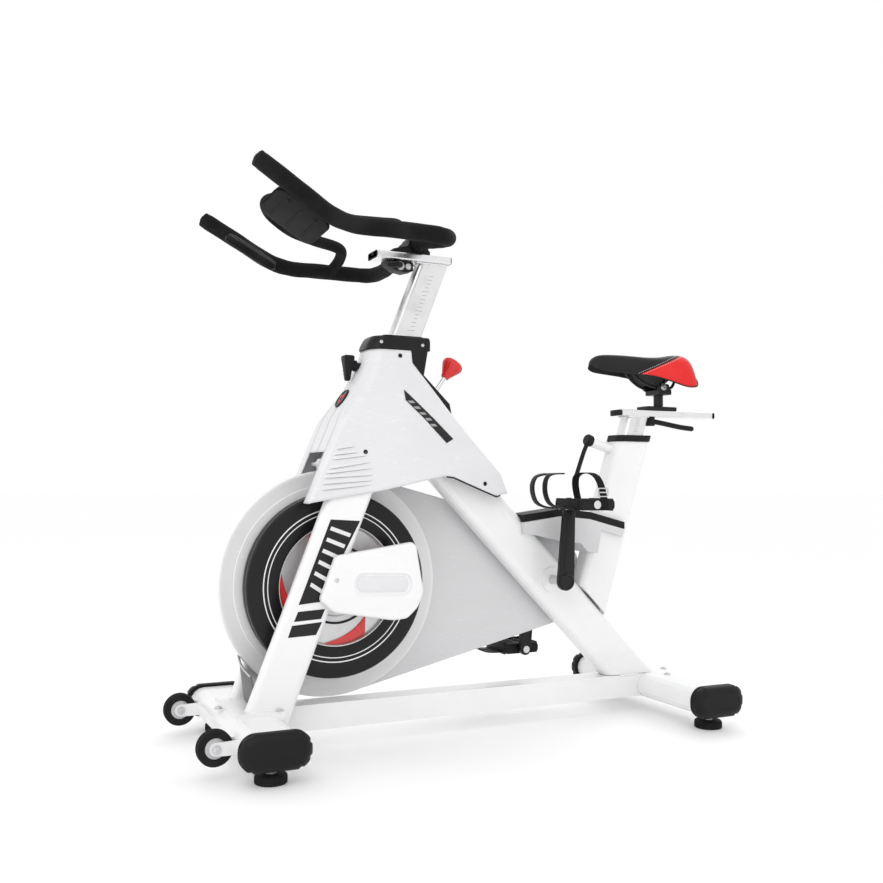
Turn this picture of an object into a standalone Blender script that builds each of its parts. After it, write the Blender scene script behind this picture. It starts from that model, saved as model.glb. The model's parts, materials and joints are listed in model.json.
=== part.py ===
"""Indoor spin bike: a separate solid for each piece, metres, +X to the front, +Y to the rider's left."""
import math

import bmesh
import bpy
from mathutils import Matrix, Vector

# ---- driving dimensions -------------------------------------------------------------------
GAP = 0.0003                # running clearance between neighbouring pieces
FRONT_X = 0.457             # centre of the front stabiliser
REAR_X = -0.518             # centre of the rear stabiliser
STAB_LENGTH = 0.450         # bare tube between the end caps
STAB_DEPTH = 0.114
STAB_HEIGHT = 0.056
STAB_Z = 0.0615
CAP_LENGTH = 0.0262
CAP_DEPTH = 0.130
CAP_HEIGHT = 0.067
FOOT_Y = 0.205
FOOT_RADIUS = 0.030
FOOT_STEM = 0.0058
FOOT_TRAVEL = 0.010
WHEEL_X = 0.5483
WHEEL_Y = 0.165
WHEEL_Z = 0.061
WHEEL_RADIUS = 0.0325
WHEEL_WIDTH = 0.022
WHEEL_PIN = 0.004
RAIL_HALF_WIDTH = 0.0275
RAIL_BOTTOM = 0.038
RAIL_TOP = 0.0888
PLATE_THICKNESS = 0.006
TUBE_WALL = 0.003

FLYWHEEL_X = 0.2694
FLYWHEEL_Z = 0.3223
FLYWHEEL_RADIUS = 0.1885
RIM_HALF = 0.020
WEB_HALF = 0.006
HUB_RADIUS = 0.034
FLY_AXLE_RADIUS = 0.0085
FLY_PULLEY_RADIUS = 0.028

BB_X = -0.2321
BB_Z = 0.3154
BB_SHELL_RADIUS = 0.028
BB_AXLE_RADIUS = 0.0100
CRANK_LENGTH = 0.170
CRANK_ANGLE = math.radians(93.3)
CRANK_OUTER_Y = 0.087
CRANK_THICKNESS = 0.014
CRANK_PULLEY_RADIUS = 0.100
PEDAL_LENGTH = 0.088
PEDAL_WIDTH = 0.098
PEDAL_HEIGHT = 0.026
PEDAL_AXLE_RADIUS = 0.0065

BELT_Y = -0.0395
BELT_WIDTH = 0.010
BELT_THICKNESS = 0.003
COVER_INNER_Y = -0.0290
COVER_OUTER_Y = -0.0500
COVER_WALL = 0.002
DISC_RADIUS = 0.233
REAR_COVER_RADIUS = 0.1115

LEG_Y = 0.065
LEG_THICKNESS = 0.0294
LEG_DEPTH = 0.088
LEG_LEAN = 0.385            # run of the fork legs rearward for each metre up
LEG_REF_X = 0.3437
LEG_REF_Z = 0.300
LEG_TOP = 0.655
HEAD_LEAN = 0.390
HEAD_REF_X = 0.0855
HEAD_REF_Z = 0.925
HEAD_DEPTH = 0.076
HEAD_WIDTH = 0.050
HEAD_BOTTOM = 0.556
HEAD_TOP = 0.824
BAR_POST_DEPTH = 0.064
BAR_POST_WIDTH = 0.036
BAR_POST_BOTTOM = 0.655
BAR_RAIL_Z = 1.000

BEAM_ANGLE = math.radians(45.5)
BEAM_REF_X = -0.2155
BEAM_REF_Z = 0.3247
BEAM_DEPTH = 0.096
BEAM_WIDTH = 0.050
BEAM_FOOT_Z = STAB_Z + STAB_HEIGHT / 2 + GAP

SEAT_LEAN = 0.310
SEAT_REF_X = -0.437
SEAT_REF_Z = 0.565
SEAT_TUBE_DEPTH = 0.088
SEAT_TUBE_WIDTH = 0.054
SEAT_TUBE_TOP = 0.6283
SEAT_POST_DEPTH = 0.058
SEAT_POST_WIDTH = 0.040
SEAT_POST_BOTTOM = 0.400
SEAT_RAIL_Z = 0.689
SEAT_RAIL_THICKNESS = 0.0145
SEAT_COLLAR_HEIGHT = 0.0145
SEAT_BOSS_LENGTH = 0.060
CARRIAGE_BOLT_X = -0.5195
STUB_X = -0.5455
SADDLE_RAIL_Y = 0.020
SADDLE_RAIL_Z = 0.7608
SADDLE_RAIL_RADIUS = 0.0035

BAR_RADIUS = 0.0172
BAR_Z = 1.010
BAR_CROSS_Z = 1.036
BAR_HALF_WIDTH = 0.213
BAR_CROSS_X = 0.098
BAR_BEND_X = 0.343
HORN_TIP = Vector((0.500, 0.2305, 1.1035))

KNOB_POINT = Vector((0.0084, 0.0, 0.7796))
ROD_LEAN = 0.7022           # run forward of the brake rod for each metre down
ROD_RADIUS = 0.0048
BRAKE_PIVOT_X = 0.300
BRAKE_PIVOT_Z = 0.568
CENTRE_SHIFT = 0.0585       # puts the origin under the middle of the overall length


# ---- finishes -----------------------------------------------------------------------------
def finish(name, colour, roughness, metallic=0.0):
    material = bpy.data.materials.new(name)
    material.use_nodes = True
    shader = material.node_tree.nodes["Principled BSDF"]
    shader.inputs["Base Color"].default_value = (*colour, 1.0)
    shader.inputs["Roughness"].default_value = roughness
    shader.inputs["Metallic"].default_value = metallic
    material.diffuse_color = (*colour, 1.0)
    return material


def white_enamel(name):
    return finish(name + "_white_enamel", (0.86, 0.86, 0.87), 0.30)


def grey_plastic(name):
    return finish(name + "_grey_plastic", (0.62, 0.62, 0.63), 0.42)


def black_plastic(name):
    return finish(name + "_black_plastic", (0.020, 0.020, 0.022), 0.45)


def black_rubber(name):
    return finish(name + "_black_rubber", (0.018, 0.018, 0.018), 0.80)


def black_iron(name):
    return finish(name + "_black_iron", (0.015, 0.015, 0.016), 0.35, 0.6)


def bright_steel(name):
    return finish(name + "_bright_steel", (0.72, 0.73, 0.74), 0.25, 1.0)


def red_plastic(name):
    return finish(name + "_red_plastic", (0.70, 0.03, 0.03), 0.35)


def felt(name):
    return finish(name + "_felt", (0.30, 0.27, 0.22), 0.95)


# ---- modelling helpers ---------------------------------------------------------------------
def clear_scene():
    for old in list(bpy.data.objects):
        bpy.data.objects.remove(old, do_unlink=True)


def make_object(name, mesh_builder, material, sharp=math.radians(32)):
    bmesh.ops.recalc_face_normals(mesh_builder, faces=mesh_builder.faces)
    mesh = bpy.data.meshes.new(name)
    mesh_builder.to_mesh(mesh)
    mesh_builder.free()
    mesh.shade_smooth()
    mesh.set_sharp_from_angle(angle=sharp)
    mesh.materials.append(material)
    piece = bpy.data.objects.new(name, mesh)
    bpy.context.scene.collection.objects.link(piece)
    return piece


def combine(piece, tool, operation):
    """Boolean the tool into the piece, and drop the tool."""
    modifier = piece.modifiers.new(operation.lower(), "BOOLEAN")
    modifier.operation = operation
    modifier.solver = "EXACT"
    modifier.object = tool
    bpy.context.view_layer.update()
    graph = bpy.context.evaluated_depsgraph_get()
    mesh = bpy.data.meshes.new_from_object(piece.evaluated_get(graph))
    piece.modifiers.clear()
    piece.data = mesh
    mesh.name = piece.name
    bpy.data.objects.remove(tool, do_unlink=True)
    return piece


def cut(piece, tool):
    return combine(piece, tool, "DIFFERENCE")


def join(piece, tool):
    return combine(piece, tool, "UNION")


def set_pivot(piece, point):
    """Put the piece's origin on its joint's axis without moving the piece."""
    offset = Vector(point)
    piece.data.transform(Matrix.Translation(-offset))
    piece.location = offset
    return piece


def round_rect(width, height, radius, steps=4):
    """Corner-rounded rectangle about the origin, as (across, up) pairs."""
    radius = min(radius, width / 2, height / 2)
    points = []
    for corner in range(4):
        sign_x = 1 if corner in (0, 3) else -1
        sign_y = 1 if corner in (0, 1) else -1
        centre_x = sign_x * (width / 2 - radius)
        centre_y = sign_y * (height / 2 - radius)
        for step in range(steps + 1):
            angle = math.pi / 2 * (corner + step / steps)
            point = (centre_x + radius * math.cos(angle), centre_y + radius * math.sin(angle))
            if not points or math.dist(points[-1], point) > 1e-6:
                points.append(point)
    if math.dist(points[0], points[-1]) < 1e-6:
        points.pop()
    return points


def skin_rings(builder, rings, closed=False):
    """Bridge equal rings of points with quads, and cap both ends unless they meet."""
    loops = [[builder.verts.new(point) for point in ring] for ring in rings]
    count = len(loops[0])
    pairs = list(zip(loops, loops[1:]))
    if closed:
        pairs.append((loops[-1], loops[0]))
    for first, second in pairs:
        for index in range(count):
            after = (index + 1) % count
            builder.faces.new((first[index], first[after], second[after], second[index]))
    if not closed:
        builder.faces.new(loops[0])
        builder.faces.new(list(reversed(loops[-1])))


def loft(name, rings, material, closed=False):
    builder = bmesh.new()
    skin_rings(builder, rings, closed)
    return make_object(name, builder, material)


def beam(name, start, end, section, material, side=(0, 1, 0), cut_start=None, cut_end=None):
    """Straight bar whose section is (along side, along the third axis); ends follow given planes."""
    start, end, side = Vector(start), Vector(end), Vector(side).normalized()
    axis = (end - start).normalized()
    third = side.cross(axis).normalized()
    rings = []
    for base, plane in ((start, cut_start), (end, cut_end)):
        ring = []
        for across, up in section:
            point = base + side * across + third * up
            if plane:
                origin, normal = Vector(plane[0]), Vector(plane[1])
                point = point + axis * ((origin - point).dot(normal) / axis.dot(normal))
            ring.append(point)
        rings.append(ring)
    return loft(name, rings, material)


def prism(name, outline, y_start, y_end, material, bevel=0.0):
    """Outline of (x, z) points extruded along Y; bevel rounds the rim at both faces."""
    rings = [[(x, y, z) for x, z in outline] for y in (y_start, y_end)]
    builder = bmesh.new()
    skin_rings(builder, rings)
    if bevel:
        rims = [edge for edge in builder.edges if abs(edge.verts[0].co.y - edge.verts[1].co.y) < 1e-7]
        bmesh.ops.recalc_face_normals(builder, faces=builder.faces)
        bmesh.ops.bevel(builder, geom=rims, offset=bevel, segments=2, profile=0.5, affect="EDGES")
    return make_object(name, builder, material)


def box(name, low, high, material, bevel=0.0):
    builder = bmesh.new()
    bmesh.ops.create_cube(builder, size=1.0)
    for vert in builder.verts:
        vert.co = [low[k] + (high[k] - low[k]) * (vert.co[k] + 0.5) for k in range(3)]
    if bevel:
        bmesh.ops.bevel(builder, geom=list(builder.edges), offset=bevel, segments=2, profile=0.5,
                        affect="EDGES")
    return make_object(name, builder, material)


def turned(name, profile, base, axis, material, steps=24, closed=False):
    """Turn a profile of (radius, distance along the axis) about an axis through base."""
    base, axis = Vector(base), Vector(axis).normalized()
    first = axis.orthogonal().normalized()
    if abs(axis.z) < 0.9:
        first = axis.cross(Vector((0, 0, 1))).normalized()
    second = axis.cross(first)
    builder = bmesh.new()
    loops = []
    for radius, along in profile:
        if radius < 1e-9:
            loops.append([builder.verts.new(base + axis * along)])
            continue
        loop = []
        for step in range(steps):
            angle = 2 * math.pi * step / steps
            spoke = first * math.cos(angle) + second * math.sin(angle)
            loop.append(builder.verts.new(base + axis * along + spoke * radius))
        loops.append(loop)
    pairs = list(zip(loops, loops[1:]))
    if closed:
        pairs.append((loops[-1], loops[0]))
    for low, high in pairs:
        for step in range(steps):
            after = (step + 1) % steps
            if len(low) == 1:
                builder.faces.new((low[0], high[after], high[step]))
            elif len(high) == 1:
                builder.faces.new((low[step], low[after], high[0]))
            else:
                builder.faces.new((low[step], low[after], high[after], high[step]))
    if not closed:
        for loop in (loops[0], loops[-1]):
            if len(loop) > 1:
                builder.faces.new(loop)
    return make_object(name, builder, material)


def rod(name, start, end, radius, material, steps=16):
    start, end = Vector(start), Vector(end)
    length = (end - start).length
    return turned(name, [(radius, 0.0), (radius, length)], start, end - start, material, steps)


def smooth_path(points, steps=4):
    """Catmull-Rom curve through the points."""
    points = [Vector(point) for point in points]
    padded = [points[0] * 2 - points[1]] + points + [points[-1] * 2 - points[-2]]
    path = []
    for a, b, c, d in zip(padded, padded[1:], padded[2:], padded[3:]):
        for step in range(steps):
            t = step / steps
            path.append(0.5 * ((2 * b) + (c - a) * t + (2 * a - 5 * b + 4 * c - d) * t * t
                               + (3 * b - a - 3 * c + d) * t ** 3))
    path.append(points[-1])
    return path


def tube(name, path, radius, material, steps=10, end_dome=0.0):
    """Round bar along a path; end_dome rounds off both ends."""
    path = [Vector(point) for point in path]
    radii = [radius] * len(path)
    if end_dome:
        head = (path[0] - path[1]).normalized()
        tail = (path[-1] - path[-2]).normalized()
        path = [path[0] + head * end_dome] + path + [path[-1] + tail * end_dome]
        radii = [radius * 0.62] + radii + [radius * 0.62]
    tangents = []
    for index in range(len(path)):
        before = path[max(index - 1, 0)]
        after = path[min(index + 1, len(path) - 1)]
        tangents.append((after - before).normalized())
    normal = tangents[0].orthogonal().normalized()
    rings = []
    for point, tangent, size in zip(path, tangents, radii):
        normal = (normal - tangent * normal.dot(tangent)).normalized()
        other = tangent.cross(normal)
        rings.append([point + (normal * math.cos(2 * math.pi * k / steps)
                               + other * math.sin(2 * math.pi * k / steps)) * size
                      for k in range(steps)])
    return loft(name, rings, material)


def arc(centre, radius, start, end, steps):
    """Points (x, z) on an arc, angles in degrees from +X towards +Z."""
    points = []
    for step in range(steps + 1):
        angle = math.radians(start + (end - start) * step / steps)
        points.append((centre[0] + radius * math.cos(angle), centre[1] + radius * math.sin(angle)))
    return points


def mirrored(piece, name, material):
    """Copy of a left-hand piece on the right-hand side."""
    mesh = piece.data.copy()
    mesh.transform(Matrix.Scale(-1, 4, Vector((0, 1, 0))))
    mesh.flip_normals()
    mesh.materials.clear()
    mesh.materials.append(material)
    mesh.name = name
    twin = bpy.data.objects.new(name, mesh)
    bpy.context.scene.collection.objects.link(twin)
    return twin


# ---- lines that several pieces share --------------------------------------------------------
def leg_x(z):
    return LEG_REF_X - LEG_LEAN * (z - LEG_REF_Z)


def head_x(z):
    return HEAD_REF_X - HEAD_LEAN * (z - HEAD_REF_Z)


def seat_x(z):
    return SEAT_REF_X - SEAT_LEAN * (z - SEAT_REF_Z)


def rod_x(z):
    return KNOB_POINT.x + ROD_LEAN * (KNOB_POINT.z - z)


def beam_point(along, across=0.0):
    """Point on the main beam: along the axis upwards from its reference, across to the rear side."""
    axis = Vector((math.cos(BEAM_ANGLE), 0, math.sin(BEAM_ANGLE)))
    over = Vector((-math.sin(BEAM_ANGLE), 0, math.cos(BEAM_ANGLE)))
    return Vector((BEAM_REF_X, 0, BEAM_REF_Z)) + axis * along + over * across


HEAD_AXIS = Vector((-HEAD_LEAN, 0, 1)).normalized()
HEAD_REAR = Vector((-1, 0, -HEAD_LEAN)).normalized()
SEAT_AXIS = Vector((-SEAT_LEAN, 0, 1)).normalized()
SEAT_FRONT = Vector((1, 0, SEAT_LEAN)).normalized()
BEAM_OVER = Vector((-math.sin(BEAM_ANGLE), 0, math.cos(BEAM_ANGLE)))
ROD_AXIS = Vector((ROD_LEAN, 0, -1)).normalized()
UP = Vector((0, 0, 1))


def sloped_tube(name, line, low, high, depth, width, radius, material):
    """Rounded rectangular bar along one of the sloped lines, with level ends."""
    start, end = Vector((line(low), 0, low)), Vector((line(high), 0, high))
    section = round_rect(width, depth, radius)
    return beam(name, start, end, section, material, cut_start=(start, UP), cut_end=(end, UP))


def head_tube_solid(grow=GAP):
    return sloped_tube("head_room", head_x, HEAD_BOTTOM - 0.02, HEAD_TOP + 0.03,
                       HEAD_DEPTH + 2 * grow, HEAD_WIDTH + 2 * grow, 0.010, white_enamel("room"))


def beam_solid(grow=GAP):
    section = round_rect(BEAM_WIDTH + 2 * grow, BEAM_DEPTH + 2 * grow, 0.018)
    return beam("beam_room", beam_point(-0.36), beam_point(0.56), section, white_enamel("room"))


def stabiliser_section(grow=0.0):
    return round_rect(STAB_DEPTH + 2 * grow, STAB_HEIGHT + 2 * grow, STAB_HEIGHT / 2 + grow, 4)


def cross_tube(name, x, half_length, grow=0.0):
    rings = [[(x + a, y, STAB_Z + b) for a, b in stabiliser_section(grow)]
             for y in (-half_length, half_length)]
    return loft(name, rings, white_enamel(name))


# ---- base -----------------------------------------------------------------------------------
def foot_bores(piece, x):
    for side in (-1, 1):
        bore = rod("bore", (x, side * FOOT_Y, 0.02), (x, side * FOOT_Y, 0.076),
                   FOOT_STEM + GAP, piece.data.materials[0])
        cut(piece, bore)


def wheel_bracket(side):
    """Two cheeks and the pin that carry one transport wheel."""
    cheek_gap = WHEEL_WIDTH / 2 + 0.0012
    nose = arc((WHEEL_X, WHEEL_Z), 0.012, -80, 80, 5)
    outline = nose + [(FRONT_X + 0.044, 0.074), (FRONT_X + 0.044, 0.048)]
    cheeks = []
    for low in (-cheek_gap - 0.003, cheek_gap):
        y = side * WHEEL_Y + low
        cheeks.append(prism("cheek", outline, y, y + 0.003, white_enamel("cheek")))
    pin_half = cheek_gap + 0.005
    pin = rod("pin", (WHEEL_X, side * WHEEL_Y - pin_half, WHEEL_Z),
              (WHEEL_X, side * WHEEL_Y + pin_half, WHEEL_Z), WHEEL_PIN, white_enamel("pin"))
    return cheeks + [pin]


def base_plate_box(grow=0.0):
    return box("base_plate", (0.398 - grow, -0.090 - grow, STAB_Z + 0.018),
               (0.492 + grow, 0.090 + grow, STAB_Z + STAB_HEIGHT / 2 + PLATE_THICKNESS + grow),
               white_enamel("plate"))


def build_front_stabiliser():
    piece = cross_tube("front_stabiliser", FRONT_X, STAB_LENGTH / 2)
    join(piece, base_plate_box())
    for side in (-1, 1):
        for part in wheel_bracket(side):
            join(piece, part)
    cut(piece, cross_tube("core", FRONT_X, STAB_LENGTH, -TUBE_WALL))
    foot_bores(piece, FRONT_X)


def build_rear_stabiliser():
    piece = cross_tube("rear_stabiliser", REAR_X, STAB_LENGTH / 2)
    cut(piece, cross_tube("core", REAR_X, STAB_LENGTH, -TUBE_WALL))
    foot_bores(piece, REAR_X)


def build_end_caps():
    start = STAB_LENGTH / 2 + GAP
    stations = ((0.0, 0.003), (0.003, 0.0), (0.018, 0.0), (0.0235, 0.006), (CAP_LENGTH, 0.018))
    for place, x in (("front", FRONT_X), ("rear", REAR_X)):
        for hand, side in (("left", 1), ("right", -1)):
            rings = []
            for along, inset in stations:
                section = round_rect(CAP_DEPTH - 2 * inset, CAP_HEIGHT - 2 * inset, CAP_HEIGHT, 4)
                rings.append([(x + a, side * (start + along), STAB_Z + b) for a, b in section])
            name = f"end_cap_{place}_{hand}"
            loft(name, rings, black_plastic(name))


def build_level_feet():
    for place, x in (("front", FRONT_X), ("rear", REAR_X)):
        for hand, side in (("left", 1), ("right", -1)):
            name = f"level_foot_{place}_{hand}"
            profile = [(FOOT_RADIUS, 0.0), (FOOT_RADIUS, 0.008), (FOOT_RADIUS - 0.004, 0.012),
                       (0.011, 0.0135), (0.011, 0.020), (FOOT_STEM, 0.020), (FOOT_STEM, 0.062)]
            foot = turned(name, profile, (x, side * FOOT_Y, 0), UP, black_rubber(name), 14)
            set_pivot(foot, (x, side * FOOT_Y, 0))


def build_transport_wheels():
    for hand, side in (("left", 1), ("right", -1)):
        name = f"transport_wheel_{hand}"
        half = WHEEL_WIDTH / 2
        bore = WHEEL_PIN + GAP
        profile = [(bore, -half), (0.013, -half), (0.014, -half + 0.003), (0.024, -half + 0.003),
                   (0.026, -half), (WHEEL_RADIUS - 0.003, -half), (WHEEL_RADIUS, -half + 0.004),
                   (WHEEL_RADIUS, half - 0.004), (WHEEL_RADIUS - 0.003, half), (0.026, half),
                   (0.024, half - 0.003), (0.014, half - 0.003), (0.013, half), (bore, half)]
        centre = (WHEEL_X, side * WHEEL_Y, WHEEL_Z)
        wheel = turned(name, profile, centre, (0, 1, 0), black_plastic(name), 16, closed=True)
        set_pivot(wheel, centre)


def build_bottom_rail():
    front_x = FRONT_X - STAB_DEPTH / 2 + STAB_HEIGHT / 2
    rear_x = REAR_X + STAB_DEPTH / 2 - STAB_HEIGHT / 2
    rail = box("bottom_rail", (rear_x, -RAIL_HALF_WIDTH, RAIL_BOTTOM),
               (front_x, RAIL_HALF_WIDTH, RAIL_TOP), white_enamel("bottom_rail"))
    cut(rail, cross_tube("front_room", FRONT_X, 0.10, GAP))
    cut(rail, cross_tube("rear_room", REAR_X, 0.10, GAP))
    cut(rail, base_plate_box(GAP))
    inner_y = RAIL_HALF_WIDTH - TUBE_WALL
    cut(rail, box("core", (-0.7, -inner_y, RAIL_BOTTOM + TUBE_WALL),
                  (0.7, inner_y, RAIL_TOP - TUBE_WALL), white_enamel("core")))


# ---- frame ------------------------------------------------------------------------------------
def build_fork_legs():
    low = RAIL_BOTTOM + 0.008
    start = Vector((leg_x(low), LEG_Y, low))
    end = Vector((leg_x(LEG_TOP), LEG_Y, LEG_TOP))
    section = round_rect(LEG_THICKNESS, LEG_DEPTH, 0.0125, 4)
    leg = beam("fork_leg_left", start, end, section, white_enamel("fork_leg_left"),
               cut_start=(start, UP), cut_end=(end, UP))
    cut(leg, cross_tube("stabiliser_room", FRONT_X, 0.12, GAP))
    cut(leg, base_plate_box(GAP))
    axis = (end - start).normalized()
    core = round_rect(LEG_THICKNESS - 2 * TUBE_WALL, LEG_DEPTH - 2 * TUBE_WALL, 0.0095, 4)
    cut(leg, beam("core", start - axis * 0.1, end + axis * 0.1, core, white_enamel("core")))
    for centre, radius in (((FLYWHEEL_X, FLYWHEEL_Z), FLY_AXLE_RADIUS + GAP),
                           ((BRAKE_PIVOT_X, BRAKE_PIVOT_Z), 0.0045 + GAP)):
        bore = rod("bore", (centre[0], 0.02, centre[1]), (centre[0], 0.11, centre[1]), radius,
                   white_enamel("bore"))
        cut(leg, bore)
    mirrored(leg, "fork_leg_right", white_enamel("fork_leg_right"))


def build_head_tube():
    name = "head_tube"
    piece = sloped_tube(name, head_x, HEAD_BOTTOM, HEAD_TOP, HEAD_DEPTH, HEAD_WIDTH, 0.010,
                        white_enamel(name))
    inner_leg_y = LEG_Y - LEG_THICKNESS / 2 - GAP
    crown_low, crown_high = HEAD_BOTTOM + 0.012, LEG_TOP - 0.006
    half = 0.030
    outline = [(head_x(crown_low) - half, crown_low), (head_x(crown_low) + half, crown_low),
               (head_x(crown_high) + half, crown_high), (head_x(crown_high) - half, crown_high)]
    join(piece, prism("crown", outline, -inner_leg_y, inner_leg_y, white_enamel("crown")))
    cut(piece, sloped_tube("post_bore", head_x, HEAD_BOTTOM - 0.05, HEAD_TOP + 0.05,
                           BAR_POST_DEPTH + 2 * GAP, BAR_POST_WIDTH + 2 * GAP, 0.009,
                           white_enamel("bore")))


def build_main_beam():
    section = round_rect(BEAM_WIDTH, BEAM_DEPTH, 0.018)
    head_point = Vector((head_x(0.65), 0, 0.65)) + HEAD_REAR * (HEAD_DEPTH / 2 + GAP)
    piece = beam("main_beam", beam_point(-0.33), beam_point(0.40), section,
                 white_enamel("main_beam"), cut_start=((0, 0, BEAM_FOOT_Z), UP),
                 cut_end=(head_point, HEAD_REAR))
    shell_room = rod("shell_room", (BB_X, -0.06, BB_Z), (BB_X, 0.06, BB_Z),
                     BB_SHELL_RADIUS + GAP, white_enamel("room"), 24)
    cut(piece, shell_room)
    core = round_rect(BEAM_WIDTH - 2 * TUBE_WALL, BEAM_DEPTH - 2 * TUBE_WALL, 0.015)
    cut(piece, beam("core", beam_point(-0.50), beam_point(0.70), core, white_enamel("core")))
    top = KNOB_POINT + ROD_AXIS * 0.05
    rod_room = rod("rod_room", top, KNOB_POINT + ROD_AXIS * 0.40, ROD_RADIUS + 0.0008,
                   white_enamel("room"))
    cut(piece, rod_room)


def build_seat_tube():
    name = "seat_tube"
    low = 0.20
    start, end = Vector((seat_x(low), 0, low)), Vector((seat_x(SEAT_TUBE_TOP), 0, SEAT_TUBE_TOP))
    section = round_rect(SEAT_TUBE_WIDTH, SEAT_TUBE_DEPTH, 0.014)
    beam_top = (beam_point(0.0, BEAM_DEPTH / 2 + GAP), BEAM_OVER)
    piece = beam(name, start, end, section, white_enamel(name), cut_start=beam_top,
                 cut_end=(end, UP))
    boss_z = 0.598
    boss_foot = Vector((seat_x(boss_z), 0, boss_z)) + SEAT_FRONT * (SEAT_TUBE_DEPTH / 2 - 0.006)
    join(piece, rod("boss", boss_foot, boss_foot + SEAT_FRONT * SEAT_BOSS_LENGTH, 0.0125,
                    white_enamel("boss")))
    cut(piece, sloped_tube("post_bore", seat_x, 0.10, SEAT_TUBE_TOP + 0.05,
                           SEAT_POST_DEPTH + 2 * GAP, SEAT_POST_WIDTH + 2 * GAP, 0.012,
                           white_enamel("bore")))
    cut(piece, rod("pin_bore", boss_foot - SEAT_FRONT * 0.025, boss_foot + SEAT_FRONT * 0.09,
                   0.005 + GAP, white_enamel("bore")))


def build_seat_collar():
    name = "seat_collar"
    low = SEAT_TUBE_TOP + GAP
    high = low + SEAT_COLLAR_HEIGHT
    piece = sloped_tube(name, seat_x, low, high, SEAT_TUBE_DEPTH + 0.004,
                        SEAT_TUBE_WIDTH + 0.006, 0.016, black_plastic(name))
    cut(piece, sloped_tube("post_bore", seat_x, low - 0.03, high + 0.03,
                           SEAT_POST_DEPTH + 2 * GAP, SEAT_POST_WIDTH + 2 * GAP, 0.012,
                           black_plastic("bore")))


def build_caddy():
    """Saddle-shaped tray between the beam and the seat tube, with a rubber edge on top."""
    top = [(-0.152, 0.4440), (-0.2478, 0.4565), (-0.3246, 0.4490), (-0.4195, 0.4245)]
    under = [(-0.4140, 0.4075), (-0.3560, 0.4235), (-0.3450, 0.3720), (-0.3180, 0.3750),
             (-0.3000, 0.3950), (-0.2450, 0.4020), (-0.1850, 0.4150), (-0.152, 0.4180)]
    far, near = COVER_INNER_Y + 2 * GAP, 0.038
    edge = 0.0165
    tray = prism("caddy_tray", top + under, far, near, white_enamel("caddy_tray"))
    lift = 2 * GAP
    rim_low = [(x, z + lift) for x, z in top]
    rim_high = [(x, z + edge) for x, z in reversed(top)]
    rim = prism("caddy_rim", rim_low + rim_high, far, near, black_rubber("caddy_rim"))
    for piece in (tray, rim):
        cut(piece, beam_solid())
        cut(piece, sloped_tube("seat_room", seat_x, 0.25, 0.60, SEAT_TUBE_DEPTH + 2 * GAP,
                               SEAT_TUBE_WIDTH + 2 * GAP, 0.014, white_enamel("room")))


# ---- drive ------------------------------------------------------------------------------------
def build_bottom_bracket():
    shell_half = 0.028
    bore = BB_AXLE_RADIUS + GAP
    relief = 0.020
    seat = 0.010
    profile = [(bore, -shell_half), (BB_SHELL_RADIUS, -shell_half), (BB_SHELL_RADIUS, shell_half),
               (bore, shell_half), (bore, shell_half - seat), (relief, shell_half - seat),
               (relief, seat - shell_half), (bore, seat - shell_half)]
    turned("bottom_bracket", profile, (BB_X, 0, BB_Z), (0, 1, 0), bright_steel("bottom_bracket"),
           24, closed=True)
    half = CRANK_OUTER_Y - CRANK_THICKNESS - GAP
    axle = rod("crank_axle", (BB_X, -half, BB_Z), (BB_X, half, BB_Z), BB_AXLE_RADIUS,
               bright_steel("crank_axle"), 24)
    set_pivot(axle, (BB_X, 0, BB_Z))


def crank_point(side):
    reach = side * CRANK_LENGTH
    return (BB_X + reach * math.cos(CRANK_ANGLE), BB_Z + reach * math.sin(CRANK_ANGLE))


def build_cranks():
    for hand, side in (("left", 1), ("right", -1)):
        name = f"crank_{hand}"
        tip_x, tip_z = crank_point(side)
        turn = math.degrees(math.atan2(tip_z - BB_Z, tip_x - BB_X))
        outline = (arc((BB_X, BB_Z), 0.0200, turn + 80, turn + 280, 10)
                   + arc((tip_x, tip_z), 0.0140, turn - 80, turn + 80, 8))
        inner = side * (CRANK_OUTER_Y - CRANK_THICKNESS)
        outer = side * CRANK_OUTER_Y
        arm = prism(name, outline, min(inner, outer), max(inner, outer), black_iron(name), 0.002)
        axle_end = side * (CRANK_OUTER_Y + PEDAL_WIDTH)
        join(arm, rod("axle", (tip_x, side * (CRANK_OUTER_Y - 0.006), tip_z),
                      (tip_x, axle_end, tip_z), PEDAL_AXLE_RADIUS, black_iron("axle")))
        set_pivot(arm, (BB_X, 0, BB_Z))


def build_pedals():
    """Body, toe cage and strap of each pedal."""
    for hand, side in (("left", 1), ("right", -1)):
        x, z = crank_point(side)
        inner = CRANK_OUTER_Y + 0.006
        outer = inner + PEDAL_WIDTH
        low_y, high_y = sorted((side * inner, side * outer))
        pivot = (x, 0, z)
        half = PEDAL_LENGTH / 2
        flat = PEDAL_HEIGHT / 2
        outline = [(x - half, z - 0.006), (x - half + 0.008, z - flat), (x + half - 0.008, z - flat),
                   (x + half, z - 0.006), (x + half, z + 0.006), (x + half - 0.008, z + flat),
                   (x - half + 0.008, z + flat), (x - half, z + 0.006)]
        name = f"pedal_body_{hand}"
        body = prism(name, outline, low_y, high_y, black_plastic(name))
        cut(body, rod("axle_room", (x, low_y - 0.02, z), (x, high_y + 0.02, z),
                      PEDAL_AXLE_RADIUS + GAP, black_plastic("room")))
        set_pivot(body, pivot)
        build_toe_cage(hand, side, x, z, inner, outer, pivot)
        build_toe_strap(hand, side, x, z, inner, outer, pivot)


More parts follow.
